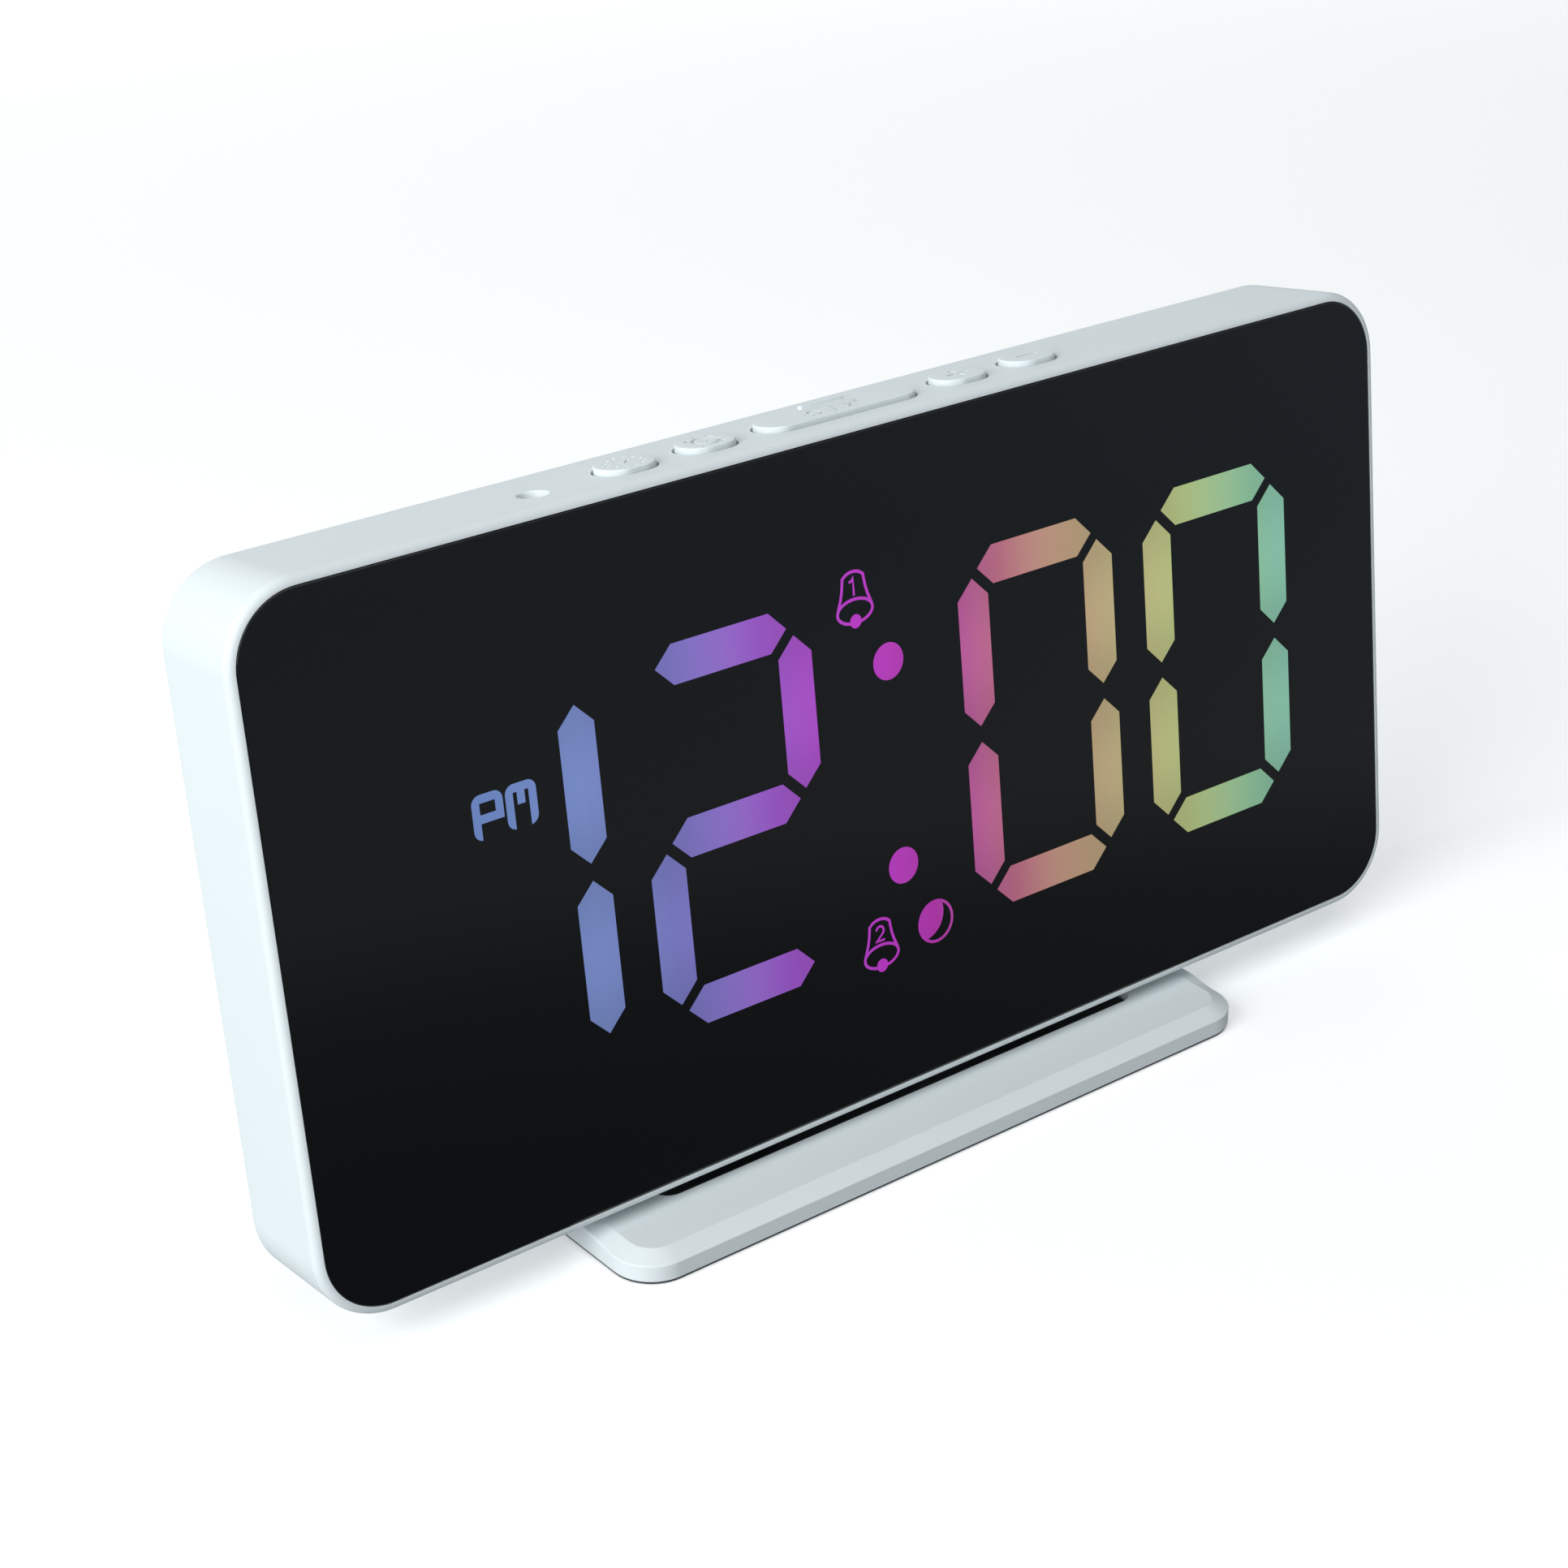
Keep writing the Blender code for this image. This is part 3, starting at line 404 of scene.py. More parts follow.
FACING_BACK = Matrix.Rotation(-math.pi / 2, 4, "X")
FACING_DOWN = Matrix.Rotation(math.pi, 4, "X")


# ---- node trees


class Value:
    """A number or colour that a node gives, to write sums with."""

    def __init__(self, plan: "Plan", socket: bpy.types.NodeSocket) -> None:
        """Wrap one output socket of the plan."""
        self.plan = plan
        self.socket = socket

    def __add__(self, other: "Value | float") -> "Value":
        """This plus other."""
        return self.plan.maths("ADD", self, other)

    def __sub__(self, other: "Value | float") -> "Value":
        """This less other."""
        return self.plan.maths("SUBTRACT", self, other)

    def __rsub__(self, other: float) -> "Value":
        """A number less this."""
        return self.plan.maths("SUBTRACT", other, self)

    def __mul__(self, other: "Value | float") -> "Value":
        """This times other."""
        return self.plan.maths("MULTIPLY", self, other)

    def __truediv__(self, other: "Value | float") -> "Value":
        """This over other."""
        return self.plan.maths("DIVIDE", self, other)

    def __rtruediv__(self, other: float) -> "Value":
        """A number over this."""
        return self.plan.maths("DIVIDE", other, self)

    __radd__ = __add__
    __rmul__ = __mul__


class Plan:
    """A node tree that is added to one node at a time."""

    def __init__(self, tree: bpy.types.NodeTree) -> None:
        """Start on a tree, and empty it."""
        self.tree = tree
        self.tree.nodes.clear()

    def node(
        self,
        kind: str,
        settings: Mapping[str, Any] | None = None,
        sockets: Mapping[str, Any] | None = None,
    ) -> bpy.types.Node:
        """Add a node.

        Args:
            kind: the node's type.
            settings: its own settings, set first. "stops" fills a colour ramp.
            sockets: a value or a link for each input, by identifier or name.

        Returns:
            The node.
        """
        node = self.tree.nodes.new(kind)
        for key, value in (settings or {}).items():
            if key == "stops":
                self._fill_ramp(node.color_ramp, value)
            else:
                setattr(node, key, value)
        for key, value in (sockets or {}).items():
            socket = self._input(node, key)
            if isinstance(value, Value):
                self.tree.links.new(value.socket, socket)
            else:
                socket.default_value = value
        return node

    @staticmethod
    def _input(node: bpy.types.Node, key: str) -> bpy.types.NodeSocket:
        """The input with this identifier, or else the first one in use with this name."""
        for socket in node.inputs:
            if socket.identifier == key:
                return socket
        return next(socket for socket in node.inputs if socket.name == key and socket.enabled)

    @staticmethod
    def _fill_ramp(ramp: bpy.types.ColorRamp, stops: Sequence[tuple[float, Colour]]) -> None:
        """Set a ramp's stops."""
        while len(ramp.elements) < len(stops):
            ramp.elements.new(1.0)
        for element, (place, colour) in zip(ramp.elements, stops):
            element.position = place
            element.color = (*colour, 1.0)

    def out(self, node: bpy.types.Node, name: str | int = 0) -> Value:
        """One of a node's outputs as a value."""
        return Value(self, node.outputs[name])

    def maths(self, operation: str, first: Value | float, second: Value | float = 0.0) -> Value:
        """Add a Math node and give its result."""
        inputs = {"Value": first, "Value_001": second}
        return self.out(self.node("ShaderNodeMath", {"operation": operation}, inputs))


class Recipe(Plan):
    """A material in the making, whose patterns are sized in millimetres on Object coordinates."""

    def __init__(self, name: str) -> None:
        """Start a material."""
        self.material = bpy.data.materials.new(name)
        self.material.use_nodes = True
        super().__init__(self.material.node_tree)
        self.place = self.stretched((1.0, 1.0, 1.0))

    def stretched(self, share: Colour) -> Value:
        """Object coordinates in millimetres, closer or wider apart along each axis."""
        where = self.out(self.node("ShaderNodeTexCoord"), "Object")
        scale = [part / MM for part in share]
        return self.out(self.node("ShaderNodeMapping", {}, {"Vector": where, "Scale": scale}))

    def cloud(self, size: float, detail: float = 2.0, place: Value | None = None) -> Value:
        """Soft noise from 0 to 1, with lumps this many millimetres apart and finer detail on them."""
        sockets = {"Vector": place or self.place, "Scale": 1.0 / size, "Detail": detail}
        return self.out(self.node("ShaderNodeTexNoise", {}, sockets), "Fac")

    def between(self, share: Value | float, low: Colour | Value, high: Colour | Value) -> Value:
        """Mix two colours.

        Args:
            share: how far from the first to the second.
            low: the first colour.
            high: the second colour.

        Returns:
            The mixed colour.
        """
        sockets = {"Factor_Float": share, "A_Color": self._full(low), "B_Color": self._full(high)}
        node = self.node("ShaderNodeMix", {"data_type": "RGBA"}, sockets)
        return Value(self, next(out for out in node.outputs if out.identifier == "Result_Color"))

    @staticmethod
    def _full(colour: Colour | Value) -> Any:
        """A colour with its alpha, or the linked value as it is."""
        return colour if isinstance(colour, Value) else (*colour, 1.0)

    def relief(self, height: Value, depth: float, strength: float = 1.0) -> Value:
        """Turn a height from 0 to 1 into a bumped normal, depth millimetres deep."""
        sockets = {"Height": height, "Distance": depth * MM, "Strength": strength}
        return self.out(self.node("ShaderNodeBump", {}, sockets), "Normal")

    def surface(self, **sockets: Any) -> Material:
        """End in a Principled shader.

        Args:
            sockets: its inputs, with underscores for spaces.

        Returns:
            The finished material.
        """
        named = {key.replace("_", " "): value for key, value in sockets.items()}
        shader = self.out(self.node("ShaderNodeBsdfPrincipled", {}, named))
        self.node("ShaderNodeOutputMaterial", {}, {"Surface": shader})
        return self.material


# ---- finishes


def linear(red: int, green: int, blue: int) -> Colour:
    """A colour given as screen values from 0 to 255, in the shader's linear numbers."""
    shares = (red / 255, green / 255, blue / 255)
    return tuple(s / 12.92 if s <= 0.04045 else ((s + 0.055) / 1.055) ** 2.4 for s in shares)


class Finish(Protocol):
    """Anything that can make one of the clock's materials."""

    def make(self, name: str) -> Material:
        """Build the material's nodes."""


@dataclass(frozen=True)
class MouldedPlastic:
    """Plastic from a spark-eroded mould: even colour, a fine grain and a satin sheen.

    Attributes:
        colour: its colour.
        shade: the colour that it drifts towards in large soft patches.
        roughness: middle of its roughness.
        grain: how far apart the grain's lumps are, in millimetres.
        depth: how deep the grain is, in millimetres.
        sheen_drift: how much its roughness wanders.
        gloss: its specular level.
    """

    colour: Colour
    shade: Colour
    roughness: float
    grain: float = 0.28
    depth: float = 0.004
    sheen_drift: float = 0.06
    gloss: float = 0.35

    def make(self, name: str) -> Material:
        """Build the material's nodes."""
        recipe = Recipe(name)
        drift = recipe.cloud(38.0)
        grain = recipe.cloud(self.grain, 3.0)
        flow = recipe.cloud(9.0, 1.0, recipe.stretched((0.25, 1.0, 1.0)))
        return recipe.surface(
            Base_Color=recipe.between(drift, self.colour, self.shade),
            Roughness=self.roughness + (flow - 0.5) * self.sheen_drift + (grain - 0.5) * 0.04,
            Normal=recipe.relief(grain, self.depth),
            Specular_IOR_Level=self.gloss,
        )


@dataclass(frozen=True)
class SmokedWindow:
    """Polished, almost opaque smoked acrylic, with the faint haze that handling leaves.

    Attributes:
        colour: its colour.
        depth_colour: the colour that it drifts towards in large soft patches.
        roughness: its roughness where it has no haze.
    """

    colour: Colour
    depth_colour: Colour
    roughness: float

    def make(self, name: str) -> Material:
        """Build the material's nodes."""
        recipe = Recipe(name)
        smoke = recipe.cloud(60.0, 1.0)
        haze = recipe.cloud(14.0, 4.0)
        wave = recipe.cloud(45.0, 0.0)
        return recipe.surface(
            Base_Color=recipe.between(smoke, self.colour, self.depth_colour),
            Roughness=self.roughness + haze * 0.02,
            Normal=recipe.relief(wave, 0.004),
            IOR=1.49,
        )


@dataclass(frozen=True)
class LitFilm:
    """A lit bar or sign behind the window: the colour runs across, and each bar glows at its middle.

    Attributes:
        spread: stops of the colours from left to right, as (millimetres, colour).
        rim_share: how bright a bar's ends are against its middle.
        low_share: how bright the lowest bars are against the highest.
        top: height of the display's top above the ground, in millimetres.
    """

    spread: tuple[tuple[float, Colour], ...]
    rim_share: float
    low_share: float
    top: float

    def make(self, name: str) -> Material:
        """Build the material's nodes."""
        recipe = Recipe(name)
        first, last = self.spread[0][0], self.spread[-1][0]
        parts = recipe.node("ShaderNodeSeparateXYZ", {}, {"Vector": recipe.place})
        share = (recipe.out(parts, "X") - first) / (last - first)
        stops = [((at - first) / (last - first), colour) for at, colour in self.spread]
        ramp = recipe.node("ShaderNodeValToRGB", {"stops": stops}, {"Fac": share})
        height = recipe.out(parts, "Z") / self.top
        chart = recipe.node("ShaderNodeUVMap", {"uv_map": "bar"})
        across = recipe.node("ShaderNodeSeparateXYZ", {}, {"Vector": recipe.out(chart)})
        off = recipe.out(across, "X") * 2.0 - 1.0
        swell = 1.0 - off * off
        glow = self.rim_share + swell * swell * (1.0 - self.rim_share)
        grain = 0.985 + recipe.cloud(1.2, 2.0) * 0.03
        level = glow * grain * (self.low_share + height * (1.0 - self.low_share))
        return recipe.surface(
            Base_Color=(0.004, 0.004, 0.004, 1.0),
            Roughness=0.07,
            IOR=1.49,
            Emission_Color=recipe.between(level, (0.0, 0.0, 0.0), recipe.out(ramp, "Color")),
            Emission_Strength=1.0,
        )


@dataclass(frozen=True)
class MilkyFilm:
    """Pale translucent plastic that spreads light."""

    colour: Colour
    shade: Colour

    def make(self, name: str) -> Material:
        """Build the material's nodes."""
        recipe = Recipe(name)
        cloud = recipe.cloud(2.5, 3.0)
        return recipe.surface(
            Base_Color=recipe.between(cloud, self.colour, self.shade),
            Roughness=0.38 + cloud * 0.1,
            Normal=recipe.relief(recipe.cloud(0.12, 2.0), 0.002),
            Subsurface_Weight=0.3,
            Subsurface_Scale=0.002,
        )


@dataclass(frozen=True)
class CircuitBoard:
    """Glass-fibre board under green solder mask, with copper tracks and tinned pads showing.

    Attributes:
        mask: colour over bare board.
        track: colour over copper.
        tin: colour of the pads.
        pitch: how far apart the tracks are, in millimetres.
    """

    mask: Colour
    track: Colour
    tin: Colour
    pitch: float

    def make(self, name: str) -> Material:
        """Build the material's nodes."""
        recipe = Recipe(name)
        grid = {"Vector": recipe.place, "Scale": 1.0 / self.pitch, "Mortar Size": 0.09}
        grid |= {"Brick Width": 5.0, "Row Height": 1.0, "Mortar Smooth": 0.2}
        tracks = recipe.out(recipe.node("ShaderNodeTexBrick", {"offset": 0.37}, grid), "Fac")
        cells = {"Vector": recipe.place, "Scale": 0.4, "Randomness": 0.6}
        spots = recipe.out(recipe.node("ShaderNodeTexVoronoi", {}, cells), "Distance")
        edge = {"Value": spots, "From Min": 0.17, "From Max": 0.15}
        pads = recipe.out(recipe.node("ShaderNodeMapRange", {}, edge))
        weave = recipe.cloud(0.5, 2.0, recipe.stretched((1.0, 1.0, 3.0)))
        masked = recipe.between(tracks, self.mask, self.track)
        return recipe.surface(
            Base_Color=recipe.between(pads, masked, self.tin),
            Metallic=pads,
            Roughness=0.42 - pads * 0.12 + weave * 0.08,
            Normal=recipe.relief(tracks * 0.6 + weave * 0.2 + pads * 0.4, 0.03),
        )


@dataclass(frozen=True)
class TurnedMetal:
    """Bare or plated metal, with fine turning marks and a little tarnish."""

    colour: Colour
    tarnish: Colour
    roughness: float

    def make(self, name: str) -> Material:
        """Build the material's nodes."""
        recipe = Recipe(name)
        marks = recipe.cloud(0.12, 1.0, recipe.stretched((1.0, 6.0, 1.0)))
        stain = recipe.cloud(2.2, 4.0)
        return recipe.surface(
            Base_Color=recipe.between(stain, self.colour, self.tarnish),
            Metallic=1.0,
            Roughness=self.roughness + marks * 0.12 + stain * 0.06,
            Normal=recipe.relief(marks, 0.002),
        )


@dataclass(frozen=True)
class GripRubber:
    """Soft dull rubber with a powdery bloom."""

    colour: Colour
    bloom: Colour

    def make(self, name: str) -> Material:
        """Build the material's nodes."""
        recipe = Recipe(name)
        bloom = recipe.cloud(3.0, 5.0)
        grain = recipe.cloud(0.2, 2.0)
        return recipe.surface(
            Base_Color=recipe.between(bloom, self.colour, self.bloom),
            Roughness=0.8 + bloom * 0.12,
            Normal=recipe.relief(grain, 0.012),
            Specular_IOR_Level=0.3,
        )


RAINBOW_PLACES = (
    (-73.0, (103, 127, 188)), (-62.0, (104, 130, 188)), (-49.5, (117, 136, 195)),
    (-38.1, (118, 119, 191)), (-33.0, (127, 115, 196)), (-27.0, (140, 104, 195)),
    (-21.0, (151, 85, 197)), (-15.2, (162, 79, 196)), (-5.0, (180, 52, 192)),
    (0.0, (176, 56, 180)), (5.0, (170, 48, 164)), (15.2, (184, 96, 147)),
    (20.0, (184, 106, 130)), (26.6, (182, 135, 123)), (33.0, (182, 152, 121)),
    (38.1, (182, 164, 124)), (49.5, (182, 184, 125)), (55.0, (172, 190, 127)),
    (61.0, (154, 186, 138)), (67.0, (137, 188, 150)), (73.0, (131, 187, 163)),
)
RAINBOW = tuple((place, linear(*screen)) for place, screen in RAINBOW_PLACES)

FINISHES: dict[Slot, Finish] = {
    Slot.WHITE: MouldedPlastic((0.755, 0.80, 0.815), (0.73, 0.78, 0.80), 0.52),
    Slot.WINDOW: SmokedWindow((0.0022, 0.0026, 0.0032), (0.003, 0.0036, 0.0042), 0.035),
    Slot.MASK: MouldedPlastic((0.012, 0.012, 0.013), (0.02, 0.02, 0.02), 0.7, 0.2, 0.01),
    Slot.DIFFUSER: MilkyFilm((0.82, 0.84, 0.84), (0.72, 0.75, 0.76)),
    Slot.BOARD: CircuitBoard((0.012, 0.11, 0.05), (0.03, 0.2, 0.08), (0.68, 0.69, 0.7), 1.3),
    Slot.BLACK: MouldedPlastic((0.012, 0.013, 0.014), (0.022, 0.023, 0.025), 0.48, 0.25, 0.006),
    Slot.BASE: MouldedPlastic((0.045, 0.05, 0.055), (0.065, 0.07, 0.075), 0.6, 0.3, 0.01),
    Slot.STEEL: TurnedMetal((0.56, 0.57, 0.58), (0.44, 0.44, 0.45), 0.24),
    Slot.BRASS: TurnedMetal((0.72, 0.55, 0.27), (0.5, 0.36, 0.17), 0.26),
    Slot.RUBBER: GripRubber((0.016, 0.016, 0.017), (0.035, 0.035, 0.036)),
}
LIT = LitFilm(RAINBOW, rim_share=0.84, low_share=0.84, top=83.0)


class Palette:
    """The clock's materials, each made the first time that it is asked for."""

    def __init__(self) -> None:
        """Start with none made."""
        self._made: dict[str, Material] = {}

    def take(self, slot: Slot) -> Material:
        """The material of one of the record's slots."""
        return self.make(slot.value, FINISHES[slot])

    def make(self, name: str, finish: Finish) -> Material:
        """The material that a finish makes, under this name."""
        if name not in self._made:
            self._made[name] = finish.make(name)
        return self._made[name]


# ---- repeats


class Pattern(Enum):
    """How a repeated shape is laid out on its plane."""

    RING = "ring"
    GRID = "grid"
    ROW = "row"


@dataclass(frozen=True)
class Repeat:
    """A shape repeated by Geometry Nodes.

    Attributes:
        pattern: the layout.
        count: how many stand on the ring or in the row. A grid always has its four corners.
        reach: the ring's radius, or half the extent along X of the grid or row.
        rise: half the grid's extent along Y.
    """

    pattern: Pattern
    count: int
    reach: float
    rise: float = 0.0

    def tree(self) -> tuple[bpy.types.NodeTree, dict[str, str]]:
        """Build the node tree.

        Returns:
            The tree, and the identifier of each of its named inputs.
        """
        tree = bpy.data.node_groups.new(f"repeat_{self.pattern.value}", "GeometryNodeTree")
        face = tree.interface
        face.new_socket(name="Geometry", in_out="INPUT", socket_type="NodeSocketGeometry")
        kinds = {"Count": "Int", "Reach": "Float", "Rise": "Float", "Material": "Material"}
        names = {}
        for name, kind in kinds.items():
            socket = face.new_socket(name=name, in_out="INPUT", socket_type=f"NodeSocket{kind}")
            names[name] = socket.identifier
        face.new_socket(name="Geometry", in_out="OUTPUT", socket_type="NodeSocketGeometry")
        plan = Plan(tree)
        given = plan.node("NodeGroupInput")
        turn: Value | Three = (0.0, 0.0, 0.0)
        if self.pattern is Pattern.RING:
            sockets = {"Vertices": plan.out(given, "Count"), "Radius": plan.out(given, "Reach")}
            points = plan.node("GeometryNodeMeshCircle", {}, sockets)
            index = plan.out(plan.node("GeometryNodeInputIndex"))
            angle = index * math.tau / plan.out(given, "Count")
            turn = plan.out(plan.node("ShaderNodeCombineXYZ", {}, {"Z": angle}))
        else:
            deep = self.pattern is Pattern.GRID
            sockets = {
                "Size X": plan.out(given, "Reach") * 2.0,
                "Size Y": plan.out(given, "Rise") * 2.0,
                "Vertices X": 2 if deep else plan.out(given, "Count"),
                "Vertices Y": 2,
            }
            points = plan.node("GeometryNodeMeshGrid", {}, sockets)
        spots = plan.node("GeometryNodeMeshToPoints", {}, {"Mesh": plan.out(points, "Mesh")})
        if self.pattern is Pattern.ROW:
            spots = plan.node("GeometryNodeMergeByDistance", {}, {"Geometry": plan.out(spots)})
        sockets = {"Points": plan.out(spots), "Instance": plan.out(given, "Geometry")}
        sockets["Rotation"] = turn
        copies = plan.node("GeometryNodeInstanceOnPoints", {}, sockets)
        solid = plan.node("GeometryNodeRealizeInstances", {}, {"Geometry": plan.out(copies)})
        sockets = {"Geometry": plan.out(solid), "Material": plan.out(given, "Material")}
        coated = plan.node("GeometryNodeSetMaterial", {}, sockets)
        plan.node("NodeGroupOutput", {}, {"Geometry": plan.out(coated)})
        return tree, names

    def of(self, unit: Form, material: Material) -> Form:
        """Repeat a shape.

        Args:
            unit: the shape, in millimetres about its own origin.
            material: what the tree sets on it.

        Returns:
            All the copies as one mesh.
        """
        tree, names = self.tree()
        carrier = stand(f"{tree.name}_unit", unit)
        modifier = carrier.modifiers.new("repeat", "NODES")
        modifier.node_group = tree
        wanted = {"Count": self.count, "Reach": self.reach, "Rise": self.rise, "Material": material}
        for name, value in wanted.items():
            modifier[names[name]] = value
        settle(carrier)
        copies = bmesh.new()
        copies.from_mesh(carrier.data)
        discard(carrier)
        return copies


# ---- bench


def stand(name: str, form: Form) -> Piece:
    """Put a form in the scene as an object, and free it."""
    mesh = bpy.data.meshes.new(name)
    form.to_mesh(mesh)
    form.free()
    piece = bpy.data.objects.new(name, mesh)
    bpy.context.scene.collection.objects.link(piece)
    return piece


def settle(piece: Piece) -> None:
    """Turn a piece and its modifiers into a plain mesh."""
    graph = bpy.context.evaluated_depsgraph_get()
    evaluated = piece.evaluated_get(graph)
    mesh = bpy.data.meshes.new_from_object(
        evaluated, preserve_all_data_layers=True, depsgraph=graph
    )
    before = piece.data
    piece.modifiers.clear()
    piece.data = mesh
    bpy.data.meshes.remove(before)
    mesh.name = piece.name


def discard(piece: Piece) -> None:
    """Remove an object and its mesh."""
    mesh = piece.data
    bpy.data.objects.remove(piece, do_unlink=True)
    bpy.data.meshes.remove(mesh)


def combine(piece: Piece, form: Form, operation: str) -> None:
    """Join a form to a piece or cut it away, with an exact Boolean.

    Args:
        piece: the piece to change.
        form: the other form, which is used up.
        operation: UNION or DIFFERENCE.
    """
    tool = stand(f"{piece.name}_tool", form)
    modifier = piece.modifiers.new("combine", "BOOLEAN")
    modifier.operation = operation
    modifier.solver = "EXACT"
    modifier.object = tool
    settle(piece)
    discard(tool)


class Bench:
    """Builds pieces in one space and hands them, finished, to the frame."""

    def __init__(self, space: Space, palette: Palette) -> None:
        """Work in a space, with a palette of finishes."""
        self.space = space
        self.palette = palette

    @staticmethod
    def join(piece: Piece, *forms: Form) -> None:
        """Join forms to a piece."""
        for form in forms:
            combine(piece, form, "UNION")

    @staticmethod
    def cut(piece: Piece, *forms: Form) -> None:
        """Cut forms away from a piece."""
        for form in forms:
            combine(piece, form, "DIFFERENCE")

    def finish(
        self,
        piece: Piece,
        slot: Slot,
        body: str = "case",
        replaces: Sequence[str] = (),
        material: Material | None = None,
    ) -> None:
        """Bake a piece's place, shade and dress it, and hand it to the frame.

        Args:
            piece: the piece, in this bench's millimetres.
            slot: the record's material slot that it stands for.
            body: the body that it rides on.
            replaces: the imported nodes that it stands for.
            material: its material, where that isn't the slot's own.
        """
        mesh = piece.data
        mesh.materials.clear()
        mesh.materials.append(material or self.palette.take(slot))
        mesh.polygons.foreach_set("material_index", [0] * len(mesh.polygons))
        mesh.transform(self.space.to_world)
        mesh.shade_smooth()
        mesh.set_sharp_from_angle(angle=CREASE)
        weights = piece.modifiers.new("weights", "WEIGHTED_NORMAL")
        weights.keep_sharp = True
        weights.weight = 90
        settle(piece)
        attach(piece, body)
        if replaces:
            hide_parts(*replaces)
        log.info("%s: %d faces on %s", piece.name, len(piece.data.polygons), body)


# ---- case


@dataclass
class FrontHousing:
    """The white tray that carries everything, with a soft lip round the window.

    Attributes:
        corner: radius of its outer corners.
        draft: how much narrower it is behind than in front, on each side.
        draft_run: the depth over which the draft builds up.
        lip_round: radius of the lip's outer edge.
        rear_round: radius of its rear edge.
        wall: thickness of its side walls.
        pocket_inset: from its outer side to the window's pocket.
        pocket_depth: depth of that pocket.
        ledge_back: rear face of the wall behind the window.
        opening_inset: from its outer side to the display opening.
        boss: place of the screw bosses, as plus and minus these distances.
        boss_round: radius of a boss.
        boss_back: rear face of a boss.
        pilot: radius, front and rear of the pilot hole in a boss.
        hinge: the hinge pins' line, as (depth, height).
        pin_bore: radius of the pins' bore, and how far it runs to each side.
        lug_places: where the neck's two lugs stand.
        lug_slot: width, depth and corner radius of the slot for a lug.
        lug_slot_y: its middle, front to back.
        ear_offset: from a lug's middle to the ears on its two sides.
        ear_thickness: thickness of an ear.
        ear: its width and corner radius.
        ear_rise: how far it reaches above the pins' line.
        ear_start: how far above the underside it starts.
        key_gap: clearance round a key.
        key_hole_round: radius of a key hole's rim.
        lens_hole: radius of the light sensor's hole, and of its rim.
        hole_depth: how deep the top's holes are cut.
    """

    corner: float = 10.2
    draft: float = 0.53
    draft_run: float = 17.15
    lip_round: float = 1.2
    rear_round: float = 1.25
    wall: float = 2.0
    pocket_inset: float = 1.25
    pocket_depth: float = 2.2
    ledge_back: float = 3.4
    opening_inset: float = 16.2
    boss: Flat = (88.2, 40.6)
    boss_round: float = 3.2
    boss_back: float = 14.6
    pilot: Three = (1.05, 6.9, 15.0)
    hinge: Flat = (8.5, -41.0)
    pin_bore: Flat = (1.4, 45.0)
    lug_places: Flat = (-26.0, 26.0)
    lug_slot: Three = (11.0, 10.1, 1.0)
    lug_slot_y: float = 9.35
    ear_offset: float = 7.1
    ear_thickness: float = 2.4
    ear: Flat = (7.0, 2.6)
    ear_rise: float = 3.7
    ear_start: float = 1.0
    key_gap: float = 0.35
    key_hole_round: float = 0.1
    lens_hole: Flat = (1.97, 0.25)
    hole_depth: float = 4.0

    def build(self, bench: Bench, keys: "TopKeys") -> None:
        """Make the housing.

        Args:
            bench: the case's bench.
            keys: the keys that come up through its top.
        """
        box = bench.space.box("front_housing")
        depth = box.size.y
        outer = Panel(box.size.x, box.size.z, self.corner, steps=18)
        section = corners(
            (self.pocket_inset, self.pocket_depth),
            (self.pocket_inset, 0.0, 0.12),
            (0.0, 0.0, self.lip_round),
            (self.draft, depth, self.rear_round),
            (self.wall, depth, 0.1),
            (self.wall, self.ledge_back, 0.5),
            (self.opening_inset, self.ledge_back, 0.2),
            (self.opening_inset, self.pocket_depth, 0.2),
        )
        piece = stand("white_front_housing", swept(outer, eased(section, True, 7), Way.BACK, True))
        bench.join(piece, self._bosses(), self._ears(box))
        bench.cut(piece, *self._bores(), self._lug_slots(box), self._top_holes(bench, box, keys))
        bench.finish(piece, Slot.WHITE, replaces=["front_housing"])

    def _corners(self) -> list[Flat]:
        """Where the four bosses stand."""
        return [(sx * self.boss[0], sz * self.boss[1]) for sx in (-1, 1) for sz in (-1, 1)]

    def _bosses(self) -> Form:
        """The four posts that the rear screws bite into."""
        front, back = self.ledge_back - 0.6, self.boss_back
        posts = [disc(self.boss_round, place, 5) for place in self._corners()]
        return gathered(block(post, front, back, Way.BACK) for post in posts)

    def _ears(self, box: Box) -> Form:
        """Draw the moulded ears that the hinge pins run through.

        Args:
            box: the housing's box.

        Returns:
            All four ears.
        """
        width, soft = self.ear
        height = self.hinge[1] + self.ear_rise - box.low.z - self.ear_start
        panel = Panel(width, height, soft, (self.hinge[0], box.low.z + self.ear_start + height / 2), 5)
        half = self.ear_thickness / 2
        ears = []
        for place in self.lug_places:
            for side in (-1, 1):
                at = place + side * self.ear_offset
                ears.append(block(panel, at - half, at + half, Way.ACROSS))
        return gathered(ears)

    def _bores(self) -> list[Form]:
        """The cutters of the pilot holes in the bosses, and of the hinge pins' bore."""
        radius, front, back = self.pilot
        pilots = [block(disc(radius, place, 4), front, back, Way.BACK) for place in self._corners()]
        bore, reach = self.pin_bore
        return [gathered(pilots), block(disc(bore, self.hinge, 6), -reach, reach, Way.ACROSS)]

